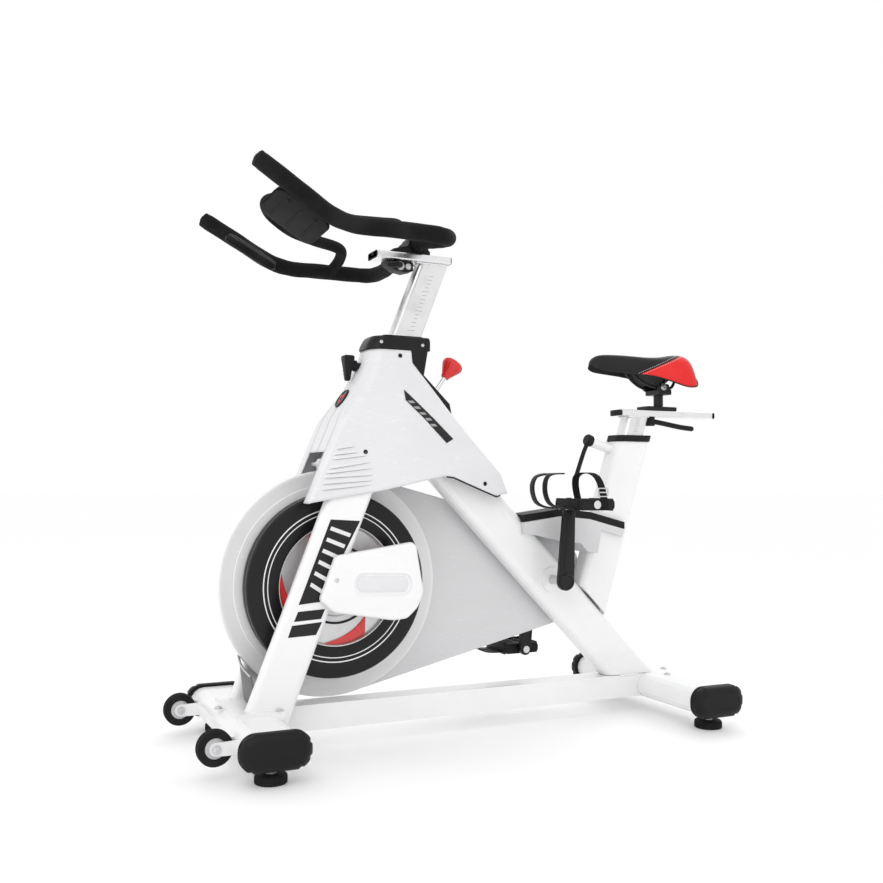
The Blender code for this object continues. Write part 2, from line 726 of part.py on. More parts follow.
def build_toe_cage(hand, side, x, z, inner, outer, pivot):
    """Bent strip that rises from the pedal's front edge and curls over the toes."""
    name = f"toe_cage_{hand}"
    half = PEDAL_LENGTH / 2
    flat = PEDAL_HEIGHT / 2
    outside = [(x + half + 0.0006, z - 0.010), (x + half + 0.016, z - 0.010),
               (x + half + 0.056, z - 0.004), (x + half + 0.070, z + 0.014),
               (x + half + 0.073, z + 0.040), (x + half + 0.066, z + 0.058),
               (x + half + 0.050, z + 0.066), (x + half + 0.022, z + 0.067)]
    inside = [(x + half + 0.022, z + 0.0635), (x + half + 0.049, z + 0.0625),
              (x + half + 0.0635, z + 0.056), (x + half + 0.069, z + 0.040),
              (x + half + 0.066, z + 0.016), (x + half + 0.054, z - 0.0005),
              (x + half + 0.016, z - 0.006), (x + half + 0.0006, z - 0.006)]
    low_y, high_y = sorted((side * (inner + 0.014), side * (outer - 0.014)))
    cage = prism(name, outside + inside, low_y, high_y, black_plastic(name))
    middle = (low_y + high_y) / 2
    window = box("window", (x + half + 0.024, middle - 0.016, z - 0.02),
                 (x + half + 0.10, middle + 0.016, z + 0.050), black_plastic("window"))
    cut(cage, window)
    set_pivot(cage, pivot)


def build_toe_strap(hand, side, x, z, inner, outer, pivot):
    """Webbing hoop over the foot, standing off the body on both sides."""
    name = f"toe_strap_{hand}"
    centre = side * (inner + outer) / 2
    half_y = (outer - inner) / 2 + 0.0004
    thick = 0.0022
    crest = 0.068
    outside = [(half_y + thick, -0.012), (half_y + thick, 0.040), (half_y - 0.010, 0.060),
               (half_y - 0.028, crest), (-half_y + 0.028, crest), (-half_y + 0.010, 0.060),
               (-half_y - thick, 0.040), (-half_y - thick, -0.012)]
    inside = [(-half_y, -0.012), (-half_y, 0.039), (-half_y + 0.0115, 0.058),
              (-half_y + 0.029, crest - thick), (half_y - 0.029, crest - thick),
              (half_y - 0.0115, 0.058), (half_y, 0.039), (half_y, -0.012)]
    profile = outside + inside
    foot_x = x - 0.018
    top_x = x - 0.002
    rings = []
    for shift in (-0.009, 0.009):
        rings.append([(foot_x + shift + (top_x - foot_x) * max(up, 0) / crest, centre + across, z + up)
                      for across, up in profile])
    strap = loft(name, rings, black_rubber(name))
    cut(strap, rod("axle_room", (x, centre - 0.09, z), (x, centre + 0.09, z), 0.0090,
                   black_rubber("room")))
    set_pivot(strap, pivot)


def build_crank_pulley():
    name = "crank_pulley"
    half = BELT_WIDTH / 2
    flange = half + 0.0012
    web = 0.0025
    bore = BB_AXLE_RADIUS + GAP
    groove = CRANK_PULLEY_RADIUS - 0.0012
    profile = [(bore, -0.0062), (0.022, -0.0062), (0.024, -web), (CRANK_PULLEY_RADIUS - 0.008, -web),
               (CRANK_PULLEY_RADIUS - 0.006, -flange), (CRANK_PULLEY_RADIUS + 0.002, -flange),
               (CRANK_PULLEY_RADIUS + 0.002, -half - GAP), (groove, -half - GAP),
               (groove, flange), (CRANK_PULLEY_RADIUS - 0.006, flange),
               (CRANK_PULLEY_RADIUS - 0.008, web), (0.024, web), (0.022, 0.0062), (bore, 0.0062)]
    pulley = turned(name, profile, (BB_X, BELT_Y, BB_Z), (0, 1, 0), bright_steel(name), 32,
                    closed=True)
    set_pivot(pulley, (BB_X, 0, BB_Z))


def build_flywheel():
    """Cast disc with a heavy rim, and the hub with the belt groove that carries it."""
    centre = (FLYWHEEL_X, 0, FLYWHEEL_Z)
    bore = HUB_RADIUS + GAP
    rim_inner = FLYWHEEL_RADIUS * 0.66
    half_profile = [(bore, WEB_HALF + 0.006), (0.062, WEB_HALF + 0.006), (0.066, WEB_HALF),
                    (rim_inner - 0.006, WEB_HALF + 0.002), (rim_inner, RIM_HALF - 0.002),
                    (rim_inner + 0.003, RIM_HALF), (FLYWHEEL_RADIUS - 0.004, RIM_HALF),
                    (FLYWHEEL_RADIUS, RIM_HALF - 0.004)]
    lower = [(radius, -along) for radius, along in half_profile]
    profile = lower + list(reversed(half_profile))
    wheel = turned("flywheel", profile, centre, (0, 1, 0), black_iron("flywheel"), 44, closed=True)
    set_pivot(wheel, centre)
    half = BELT_WIDTH / 2
    near_end = 0.0265
    far_end = BELT_Y - half - 0.0012
    groove = FLY_PULLEY_RADIUS - GAP
    bore = FLY_AXLE_RADIUS + GAP
    hub_profile = [(bore, near_end), (0.024, near_end), (HUB_RADIUS, near_end - 0.006),
                   (HUB_RADIUS, -near_end), (0.024, -near_end), (0.024, BELT_Y + half + 0.0012),
                   (groove, BELT_Y + half + 0.0012), (groove, BELT_Y - half - GAP),
                   (groove + 0.002, BELT_Y - half - GAP), (groove + 0.002, far_end),
                   (bore, far_end)]
    hub = turned("flywheel_hub", hub_profile, centre, (0, 1, 0), bright_steel("flywheel_hub"), 24,
                 closed=True)
    set_pivot(hub, centre)


def build_flywheel_axle():
    """Fixed axle through both legs, with a hexagonal head on each end."""
    name = "flywheel_axle"
    reach = LEG_Y + LEG_THICKNESS / 2 + GAP
    axle = rod(name, (FLYWHEEL_X, -reach - 0.010, FLYWHEEL_Z), (FLYWHEEL_X, reach + 0.010, FLYWHEEL_Z),
               FLY_AXLE_RADIUS, bright_steel(name), 20)
    for side in (-1, 1):
        start, end = sorted((side * reach, side * (reach + 0.008)))
        join(axle, rod("nut", (FLYWHEEL_X, start, FLYWHEEL_Z), (FLYWHEEL_X, end, FLYWHEEL_Z), 0.0145,
                       bright_steel("nut"), 6))


def belt_outline(radius_shift, steps=20):
    """Closed line around both pulleys, shifted outwards, in (x, z)."""
    big, small = CRANK_PULLEY_RADIUS + radius_shift, FLY_PULLEY_RADIUS + radius_shift
    run_x, run_z = FLYWHEEL_X - BB_X, FLYWHEEL_Z - BB_Z
    heading = math.degrees(math.atan2(run_z, run_x))
    spread = math.degrees(math.acos((big - small) / math.hypot(run_x, run_z)))
    return (arc((BB_X, BB_Z), big, heading + spread, heading + 360 - spread, steps)
            + arc((FLYWHEEL_X, FLYWHEEL_Z), small, heading - spread, heading + spread, steps // 2))


def build_drive_belt():
    inner, outer = belt_outline(0.0), belt_outline(BELT_THICKNESS)
    low, high = BELT_Y - BELT_WIDTH / 2, BELT_Y + BELT_WIDTH / 2
    rings = [[(x, low, z) for x, z in inner], [(x, low, z) for x, z in outer],
             [(x, high, z) for x, z in outer], [(x, high, z) for x, z in inner]]
    loft("drive_belt", rings, black_rubber("drive_belt"), closed=True)


def cover_outline(shrink=0.0):
    """Disc about the flywheel run into a rounded case about the cranks."""
    disc, case = DISC_RADIUS - shrink, REAR_COVER_RADIUS - shrink
    run = FLYWHEEL_X - BB_X
    meet = math.degrees(math.asin(case / disc))
    drop = (FLYWHEEL_Z - BB_Z) / run
    front = arc((FLYWHEEL_X, FLYWHEEL_Z), disc, -180 + meet, 180 - meet, 32)
    rear = arc((BB_X, BB_Z), case, 90 + math.degrees(drop), 270 - math.degrees(drop), 12)
    return front + rear


def build_belt_cover():
    """Two half shells with the belt between them."""
    middle = COVER_INNER_Y - COVER_WALL - 0.0035
    for name, face, seam in (("belt_cover_inner", COVER_INNER_Y, middle + GAP / 2),
                             ("belt_cover_outer", COVER_OUTER_Y, middle - GAP / 2)):
        toward = 1 if seam > face else -1
        low, high = sorted((face, seam))
        shell = prism(name, cover_outline(), low, high, white_enamel(name))
        floor = face + toward * COVER_WALL
        low, high = sorted((floor, seam + toward * 0.01))
        cut(shell, prism("hollow", cover_outline(0.004), low, high, white_enamel("hollow")))
        for x, z, radius in ((FLYWHEEL_X, FLYWHEEL_Z, HUB_RADIUS), (BB_X, BB_Z, 0.028)):
            cut(shell, rod("hole", (x, face - 0.01, z), (x, face + 0.01, z), radius,
                           white_enamel("hole"), 20))


def build_axle_cover():
    """Moulded cap over the near axle end, from the leg's outer face back over the flywheel."""
    name = "axle_cover"
    base_y = LEG_Y + LEG_THICKNESS / 2 + GAP
    face_y = 0.1010
    outline = [(0.3014, 0.3870), (0.3332, 0.3019), (0.3045, 0.2769), (0.1800, 0.2555),
               (0.1500, 0.2580), (0.1270, 0.2790), (0.1142, 0.3092), (0.1310, 0.4030),
               (0.1400, 0.4105)]
    wall = 0.0025
    cover = prism(name, outline, base_y, face_y, white_enamel(name), 0.004)
    centre_x = sum(x for x, _ in outline) / len(outline)
    centre_z = sum(z for _, z in outline) / len(outline)
    inner = [(centre_x + (x - centre_x) * (1 - wall * 10), centre_z + (z - centre_z) * (1 - wall * 10))
             for x, z in outline]
    cut(cover, prism("hollow", inner, base_y - 0.01, face_y - wall, white_enamel("hollow")))


# ---- brake ------------------------------------------------------------------------------------
def build_brake():
    """Lever over the flywheel that pivots between the legs and is pressed by the rod."""
    name = "brake_arm"
    outline = [(0.3110, 0.5680), (0.3060, 0.5780), (0.2950, 0.5800), (0.2700, 0.5480),
               (0.2300, 0.5350), (0.1720, 0.5330), (0.1690, 0.5260), (0.1720, 0.5215),
               (0.2320, 0.5220), (0.2780, 0.5330), (0.3060, 0.5560)]
    arm = prism(name, outline, -0.012, 0.012, black_iron(name))
    reach = LEG_Y - LEG_THICKNESS / 2 + 0.012
    join(arm, rod("pin", (BRAKE_PIVOT_X, -reach, BRAKE_PIVOT_Z), (BRAKE_PIVOT_X, reach, BRAKE_PIVOT_Z),
                  0.0045, black_iron("pin")))
    set_pivot(arm, (BRAKE_PIVOT_X, 0, BRAKE_PIVOT_Z))
    outer = FLYWHEEL_RADIUS + 0.0080
    inner = FLYWHEEL_RADIUS + 0.0035
    face = arc((FLYWHEEL_X, FLYWHEEL_Z), inner, 80, 99, 6)
    back = arc((FLYWHEEL_X, FLYWHEEL_Z), outer, 99, 80, 6)
    pad = prism("brake_pad", face + back, -0.020, 0.020, felt("brake_pad"))
    set_pivot(pad, (BRAKE_PIVOT_X, 0, BRAKE_PIVOT_Z))


def build_resistance():
    """Screwed rod that presses the brake lever, and the cone knob that turns it."""
    bottom_z = 0.5375
    end = Vector((rod_x(bottom_z), 0, bottom_z))
    top = KNOB_POINT + ROD_AXIS * 0.028
    piece = rod("brake_rod", top, end, ROD_RADIUS, bright_steel("brake_rod"))
    set_pivot(piece, KNOB_POINT)
    profile = [(0.0, -0.016), (0.015, -0.016), (0.0215, -0.010), (0.0215, -0.002), (0.012, 0.018),
               (0.0085, 0.0277), (0.0, 0.0277)]
    knob = turned("resistance_knob", profile, KNOB_POINT, ROD_AXIS, red_plastic("resistance_knob"),
                  24)
    set_pivot(knob, KNOB_POINT)


# ---- head -------------------------------------------------------------------------------------
def shroud_ring(z, front, middle, rear, front_half, rear_half, corner, inset=0.0):
    """Half a level section of the head shroud, outer skin inset by the wall when asked."""
    seam = GAP / 2 if not inset else -0.02
    behind = 0.012
    front, rear = front - inset, rear + inset
    front_half, rear_half = front_half - inset, rear_half - inset
    return [(front, seam, z), (front, front_half - corner, z),
            (front - 0.3 * corner, front_half - 0.3 * corner, z), (front - corner, front_half, z),
            (middle, max(front_half, rear_half), z), (rear + behind, rear_half, z),
            (rear + 0.3 * behind, rear_half - 0.3 * behind, z), (rear, rear_half - behind, z),
            (rear, seam, z)]


SHROUD_LEVELS = (
    # height, front, middle, rear, half width in front, half width behind, corner
    (0.460, 0.3660, 0.170, -0.135, 0.0840, 0.050, 0.006),
    (0.5065, 0.3470, 0.165, -0.100, 0.0840, 0.050, 0.006),
    (0.5503, 0.3290, 0.160, -0.082, 0.0840, 0.050, 0.006),
    (0.6600, 0.2845, 0.150, 0.0212, 0.0840, 0.050, 0.008),
    (0.6830, 0.2700, 0.150, 0.0429, 0.0740, 0.050, 0.012),
    (0.7200, 0.2460, 0.150, 0.0745, 0.0620, 0.050, 0.018),
    (0.7796, 0.2175, 0.160, 0.1256, 0.0500, 0.048, 0.020),
    (0.8050, 0.2110, 0.165, 0.1270, 0.0460, 0.046, 0.018),
)


def build_shroud():
    """Two moulded halves round the fork crown and the top of the beam, open below."""
    wall = 0.003
    name = "shroud_left"
    shell = loft(name, [shroud_ring(*level) for level in SHROUD_LEVELS], grey_plastic(name))
    levels = [list(level) for level in SHROUD_LEVELS]
    levels[0][0] -= 0.02
    levels[-1][0] += 0.02
    cut(shell, loft("hollow", [shroud_ring(*level, inset=wall) for level in levels],
                    grey_plastic("hollow")))
    below = [(0.45, 0.40), (0.45, 0.4700), (0.3570, 0.4885), (0.2050, 0.5130), (0.0560, 0.5440),
             (0.0330, 0.5415), (-0.0760, 0.5010), (-0.0880, 0.5045), (-0.25, 0.5045), (-0.25, 0.40)]
    cut(shell, prism("below", below, -0.05, 0.15, grey_plastic("below")))
    fork_gap = LEG_Y - LEG_THICKNESS / 2 - GAP
    cut(shell, box("front_opening", (0.20, -0.05, 0.30), (0.60, fork_gap, 0.592),
                   grey_plastic("opening")))
    cut(shell, head_tube_solid(0.001))
    cut(shell, beam_solid(0.001))
    cut(shell, rod("rod_room", KNOB_POINT, KNOB_POINT + ROD_AXIS * 0.30, ROD_RADIUS + 0.002,
                   grey_plastic("room")))
    mirrored(shell, "shroud_right", grey_plastic("shroud_right"))


def build_head_cap():
    """Black cap round the post, with a narrow spine down the back of the shroud's seam."""
    name = "head_cap"
    top_low = 0.8058
    clear = 0.0006
    outline = [(0.2150, top_low), (0.2130, 0.8150), (0.2020, 0.8330), (0.0800, 0.8350),
               (0.0790, 0.8250), (0.0900, 0.7640), (0.0935, 0.7430), (0.1256 - clear, 0.7796),
               (0.1270 - clear, top_low)]
    cap = prism(name, outline, -0.0450, 0.0450, black_plastic(name), 0.0025)
    spine = [(0.0930, 0.7650), (0.0245, 0.6985), (0.0190, 0.6730), (0.0320, 0.6720),
             (0.0429 - clear, 0.6830), (0.0745 - clear, 0.7200), (0.1100, 0.7614)]
    join(cap, prism("spine", spine, -0.0300, 0.0300, black_plastic("spine")))
    cut(cap, head_tube_solid(GAP))
    for side in (-1, 1):
        rings = [shroud_ring(*level, inset=-GAP) for level in SHROUD_LEVELS]
        rings = [[(x, side * y, z) for x, y, z in ring] for ring in rings]
        cut(cap, loft("shell_room", rings, black_plastic("room")))
    cut(cap, rod("rod_room", KNOB_POINT, KNOB_POINT + ROD_AXIS * 0.30, ROD_RADIUS + 0.001,
                 black_plastic("room")))


def build_head_pin():
    """Pull pin with a T handle, on the front of the head, that locks the post's height."""
    name = "head_pin"
    pin_z = 0.7720
    front = Vector((1, 0, 0))
    inner = Vector((head_x(pin_z) + BAR_POST_DEPTH / 2 / HEAD_AXIS.z + 0.0034, 0, pin_z))
    cut(bpy.data.objects["head_tube"],
        rod("pin_bore", inner - front * 0.008, inner + front * 0.05, 0.0063, white_enamel("bore")))
    start = 0.2290 - inner.x
    profile = [(0.0, 0.0), (0.0060, 0.0), (0.0060, start), (0.0100, start), (0.0090, start + 0.014),
               (0.0, start + 0.014)]
    pin = turned(name, profile, inner, front, black_plastic(name), 16)
    low, high = 0.2400, 0.2530
    rings = []
    for z, lean, half in ((0.7400, 0.0010, 0.0060), (0.7450, 0.0, 0.0085), (0.7860, 0.0, 0.0110),
                          (0.7930, 0.0015, 0.0080)):
        rings.append([(low + lean, -half, z), (high - lean, -half, z), (high - lean, half, z),
                      (low + lean, half, z)])
    join(pin, loft("handle", rings, black_plastic("handle")))
    set_pivot(pin, inner)
    for hand in ("left", "right"):
        cut(bpy.data.objects[f"shroud_{hand}"],
            rod("pin_room", inner + front * 0.01, inner + front * 0.10, 0.0066, grey_plastic("room")))


# ---- handlebar ----------------------------------------------------------------------------------
def build_bar_post():
    name = "bar_post"
    high = BAR_RAIL_Z - GAP
    post = sloped_tube(name, head_x, BAR_POST_BOTTOM, high, BAR_POST_DEPTH, BAR_POST_WIDTH, 0.009,
                       bright_steel(name))
    cut(post, sloped_tube("core", head_x, BAR_POST_BOTTOM - 0.1, high + 0.1,
                          BAR_POST_DEPTH - 2 * TUBE_WALL, BAR_POST_WIDTH - 2 * TUBE_WALL, 0.006,
                          bright_steel("core")))
    piece = box("bar_rail", (0.0200, -0.026, BAR_RAIL_Z), (0.1930, 0.026, BAR_RAIL_Z + 0.016),
                bright_steel("bar_rail"), 0.003)
    groove = box("groove", (-0.1, -0.006, BAR_RAIL_Z + 0.008), (0.4, 0.006, BAR_RAIL_Z + 0.05),
                 bright_steel("groove"))
    cut(piece, groove)


def build_bar_mount():
    """Saddle block that rides on the rail and carries the bar's cross tube."""
    name = "bar_mount"
    low = BAR_RAIL_Z + 0.016 + GAP
    outline = [(0.0700, low), (0.1540, low), (0.1540, low + 0.006), (0.1220, low + 0.0150),
               (0.1160, low + 0.030), (0.1060, BAR_CROSS_Z + 0.022), (0.0900, BAR_CROSS_Z + 0.022),
               (0.0760, BAR_CROSS_Z + 0.012), (0.0740, low + 0.010), (0.0700, low + 0.006)]
    mount = prism(name, outline, -0.024, 0.024, black_plastic(name))
    key = box("key", (0.0800, -0.0055, BAR_RAIL_Z + 0.0085), (0.1440, 0.0055, low + 0.004),
              black_plastic("key"))
    join(mount, key)
    cut(mount, rod("bar_room", (BAR_CROSS_X, -0.06, BAR_CROSS_Z), (BAR_CROSS_X, 0.06, BAR_CROSS_Z),
                   BAR_RADIUS + GAP, black_plastic("room"), 24))


def bar_half(side):
    """Line of one side of the bar, from the cross tube's middle to the horn's tip."""
    horn = Vector((HORN_TIP.x, side * HORN_TIP.y, HORN_TIP.z))
    bend = Vector((BAR_BEND_X, side * BAR_HALF_WIDTH, BAR_Z + 0.004))
    before_tip = bend.lerp(horn, 0.55)
    return [(BAR_CROSS_X, side * 0.032, BAR_CROSS_Z), (BAR_CROSS_X, side * 0.060, BAR_CROSS_Z - 0.001),
            (BAR_CROSS_X, side * 0.120, BAR_CROSS_Z - 0.012),
            (BAR_CROSS_X + 0.002, side * 0.170, BAR_Z + 0.006),
            (BAR_CROSS_X + 0.020, side * 0.202, BAR_Z), (BAR_CROSS_X + 0.060, side * BAR_HALF_WIDTH, BAR_Z),
            (0.250, side * BAR_HALF_WIDTH, BAR_Z), (BAR_BEND_X - 0.035, side * BAR_HALF_WIDTH, BAR_Z),
            bend.lerp(horn, 0.10), before_tip, horn]


def build_handlebar():
    left, right = bar_half(1), bar_half(-1)
    path = smooth_path(list(reversed(right)) + left, 2)
    bar = tube("handlebar", path, BAR_RADIUS, black_rubber("handlebar"), 10, 0.006)
    root_x, root_y = 0.215, BAR_HALF_WIDTH - 0.004
    near = [(root_x, root_y, BAR_Z), (0.208, 0.165, 0.022 + BAR_Z), (0.226, 0.120, 0.034 + BAR_Z),
            (0.290, 0.094, 0.040 + BAR_Z), (0.345, 0.084, 0.052 + BAR_Z),
            (0.392, 0.062, 0.072 + BAR_Z), (0.414, 0.030, 0.082 + BAR_Z)]
    far = [(x, -y, z) for x, y, z in near]
    hoop_path = smooth_path(far + [(0.420, 0.0, BAR_Z + 0.085)] + list(reversed(near)), 2)
    join(bar, tube("hoop", hoop_path, 0.0125, black_rubber("hoop"), 8))


def build_elbow_pads():
    """Padded plates along the inner side of each horn, their inner edges tipped down."""
    tip = math.radians(24)
    for hand, side in (("left", 1), ("right", -1)):
        name = f"elbow_pad_{hand}"
        bend = Vector((BAR_BEND_X, side * BAR_HALF_WIDTH, BAR_Z + 0.004))
        horn = Vector((HORN_TIP.x, side * HORN_TIP.y, HORN_TIP.z))
        along = (horn - bend).normalized()
        inward = Vector((0, -side, 0))
        inward = (inward - along * inward.dot(along)).normalized()
        normal = inward.cross(along).normalized()
        if normal.z < 0:
            normal = -normal
        across = (inward * math.cos(tip) - normal * math.sin(tip)).normalized()
        lift = (normal * math.cos(tip) + inward * math.sin(tip)).normalized()
        start = bend + along * 0.000
        length, width, thick = 0.122, 0.096, 0.012
        offset = BAR_RADIUS + 0.0012
        corners = []
        for along_step, across_step in round_rect(length, width, 0.018, 3):
            corners.append(start + along * (length / 2 + along_step)
                           + across * (offset + width / 2 + across_step))
        rings = [[point - lift * thick / 2 for point in corners],
                 [point + lift * thick / 2 for point in corners]]
        loft(name, rings, black_plastic(name))


# ---- seat ---------------------------------------------------------------------------------------
def build_seat_post():
    high = SEAT_RAIL_Z - GAP
    post = sloped_tube("seat_post", seat_x, SEAT_POST_BOTTOM, high, SEAT_POST_DEPTH, SEAT_POST_WIDTH,
                       0.012, white_enamel("seat_post"))
    cut(post, sloped_tube("core", seat_x, SEAT_POST_BOTTOM - 0.1, high + 0.1,
                          SEAT_POST_DEPTH - 2 * TUBE_WALL, SEAT_POST_WIDTH - 2 * TUBE_WALL, 0.009,
                          white_enamel("core")))
    outline = round_rect(0.2753, 0.046, 0.012, 3)
    centre_x = -0.5600
    rings = [[(centre_x + a, b, z) for a, b in outline]
             for z in (SEAT_RAIL_Z, SEAT_RAIL_Z + SEAT_RAIL_THICKNESS)]
    rail = loft("seat_rail", rings, bright_steel("seat_rail"))
    slot = box("slot", (-0.6700, -0.0060, SEAT_RAIL_Z - 0.02), (-0.5130, 0.0060, SEAT_RAIL_Z + 0.05),
               bright_steel("slot"))
    cut(rail, slot)


def build_carriage():
    """Sliding foot, its clamp bolt through the rail's slot, and the stub under the saddle."""
    name = "saddle_carriage"
    low = SEAT_RAIL_Z + SEAT_RAIL_THICKNESS + GAP
    piece = box(name, (-0.5840, -0.022, low), (-0.4980, 0.022, low + 0.0100), black_iron(name), 0.002)
    join(piece, rod("stub", (STUB_X, 0, low + 0.004), (STUB_X, 0, 0.750), 0.0115, black_iron("stub"),
                    20))
    join(piece, rod("bolt", (CARRIAGE_BOLT_X, 0, 0.6725), (CARRIAGE_BOLT_X, 0, low + 0.004), 0.0048,
                    black_iron("bolt")))
    seat_low = SADDLE_RAIL_Z - SADDLE_RAIL_RADIUS - 0.0026
    join(piece, box("head", (-0.5640, -0.028, 0.7420), (-0.5280, 0.028, seat_low), black_iron("head"),
                    0.002))


def build_carriage_lever():
    """Cam lever that turns on the carriage bolt below the rail."""
    name = "carriage_lever"
    high = SEAT_RAIL_Z - GAP
    centre = Vector((CARRIAGE_BOLT_X, 0, 0))
    profile = [(0.0, 0.6680), (0.0125, 0.6680), (0.0125, high), (0.0, high)]
    lever = turned(name, profile, centre, UP, black_plastic(name), 14)
    handle = smooth_path([(CARRIAGE_BOLT_X - 0.004, 0.002, 0.6790), (-0.5500, 0.0120, 0.6740),
                          (-0.5900, 0.0220, 0.6660), (-0.6230, 0.0290, 0.6620)], 3)
    join(lever, tube("handle", handle, 0.0062, black_plastic("handle"), 8, 0.003))
    cut(lever, rod("bolt_room", (CARRIAGE_BOLT_X, 0, 0.6720), (CARRIAGE_BOLT_X, 0, 0.72), 0.0048 + GAP,
                   black_plastic("room")))
    set_pivot(lever, (CARRIAGE_BOLT_X, 0, 0.6790))


def build_seat_pin():
    """Pull pin with a bent handle in the boss on the seat tube's front."""
    name = "seat_pin"
    boss_z = 0.598
    boss_end = (Vector((seat_x(boss_z), 0, boss_z))
                + SEAT_FRONT * (SEAT_TUBE_DEPTH / 2 - 0.006 + SEAT_BOSS_LENGTH + GAP))
    reach = SEAT_BOSS_LENGTH + 0.008
    inner = boss_end - SEAT_FRONT * reach
    profile = [(0.0, 0.0), (0.0050, 0.0), (0.0050, reach), (0.0130, reach), (0.0140, reach + 0.003),
               (0.0140, reach + 0.012), (0.0110, reach + 0.016), (0.0, reach + 0.016)]
    pin = turned(name, profile, inner, SEAT_FRONT, black_plastic(name), 14)
    head = boss_end + SEAT_FRONT * 0.008
    grip = smooth_path([head, head + Vector((0.014, 0, -0.030)), head + Vector((0.030, 0.004, -0.066)),
                        head + Vector((0.041, 0.006, -0.092))], 3)
    join(pin, tube("grip", grip, 0.0052, black_plastic("grip"), 8, 0.003))
    set_pivot(pin, inner)


SADDLE_STATIONS = (
    # x, half width, top height, side edge height
    (-0.3515, 0.0100, 0.8130, 0.8030),
    (-0.3590, 0.0180, 0.8230, 0.7960),
    (-0.3780, 0.0245, 0.8310, 0.7910),
    (-0.4150, 0.0280, 0.8340, 0.7880),
    (-0.4600, 0.0330, 0.8335, 0.7850),
    (-0.5000, 0.0450, 0.8320, 0.7810),
    (-0.5350, 0.0630, 0.8335, 0.7700),
    (-0.5650, 0.0790, 0.8385, 0.7580),
    (-0.5860, 0.0840, 0.8400, 0.7560),
    (-0.6010, 0.0780, 0.8360, 0.7620),
    (-0.6110, 0.0600, 0.8270, 0.7780),
    (-0.6170, 0.0330, 0.8160, 0.7960),
)


def saddle_ring(x, half, top, edge, lower=0.0):
    """Arched section of the saddle, or of its base when lowered."""
    rows = 6
    roof = []
    for step in range(rows + 1):
        share = -1 + 2 * step / rows
        drop = (top - edge) * abs(share) ** 3.4
        roof.append((x, half * share, top - 0.012 * (1 if lower else 0) - drop))
    thick = 0.30 * (top - edge) + 0.004
    floor = []
    for step in range(rows + 1):
        share = 1 - 2 * step / rows
        drop = (top - edge) * abs(share) ** 3.4
        depth = thick + (0.002 - thick) * abs(share) ** 1.5
        floor.append((x, (half - 0.004) * share, top - drop * 0.96 - depth))
    return roof + floor


def build_saddle():
    name = "saddle"
    loft(name, [saddle_ring(*station) for station in SADDLE_STATIONS], black_rubber(name))


def underside(x):
    """Height of the saddle's inner roof at the middle of its width."""
    for first, second in zip(SADDLE_STATIONS, SADDLE_STATIONS[1:]):
        if second[0] <= x <= first[0]:
            share = (first[0] - x) / (first[0] - second[0])
            top = first[2] + (second[2] - first[2]) * share
            edge = first[3] + (second[3] - first[3]) * share
            return top - 0.30 * (top - edge) - 0.004
    return SADDLE_STATIONS[-1][2]


def build_saddle_base():
    """Stiff shell under the padding with its two rails, which sit on the carriage."""
    name = "saddle_base"
    rings = []
    for x in (-0.385, -0.430, -0.480, -0.530, -0.570, -0.598):
        half = 0.012 if x > -0.5 else 0.026
        high = underside(x) - 0.0022
        low = high - 0.0060
        rings.append([(x, -half, low), (x, half, low), (x, half, high), (x, -half, high)])
    base = loft(name, rings, black_plastic(name))
    for side in (-1, 1):
        front_high, rear_high = underside(-0.440) - 0.006, underside(-0.588) - 0.006
        path = smooth_path([(-0.440, side * 0.008, front_high), (-0.478, side * 0.0150, 0.7770),
                            (-0.512, side * SADDLE_RAIL_Y, SADDLE_RAIL_Z),
                            (-0.540, side * SADDLE_RAIL_Y, SADDLE_RAIL_Z),
                            (-0.570, side * SADDLE_RAIL_Y, SADDLE_RAIL_Z + 0.0006),
                            (-0.588, side * SADDLE_RAIL_Y, rear_high)], 2)
        join(base, tube("rail", path, SADDLE_RAIL_RADIUS, black_plastic("rail"), 8))


def build():
    clear_scene()
    build_front_stabiliser()
    build_rear_stabiliser()
    build_end_caps()
    build_level_feet()
    build_transport_wheels()
    build_bottom_rail()
    build_fork_legs()
    build_head_tube()
    build_main_beam()
    build_seat_tube()
    build_seat_collar()
    build_caddy()
    build_bottom_bracket()
    build_cranks()
    build_pedals()
    build_crank_pulley()
    build_flywheel()
    build_flywheel_axle()
    build_drive_belt()
    build_belt_cover()
    build_axle_cover()
    build_brake()
    build_resistance()
    build_shroud()
    build_head_cap()
    build_head_pin()
    build_bar_post()
    build_bar_mount()
    build_handlebar()
    build_elbow_pads()
    build_seat_post()
    build_carriage()
    build_carriage_lever()
    build_seat_pin()
    build_saddle()
    build_saddle_base()
    for piece in bpy.context.scene.objects:
        piece.location.x += CENTRE_SHIFT


build()
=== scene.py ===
"""The finished look of the indoor spin bike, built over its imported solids.

Metres; +X is the front, +Y the rider's left and +Z up.
"""
import json
import math

import bmesh
import bpy
from mathutils import Matrix, Vector


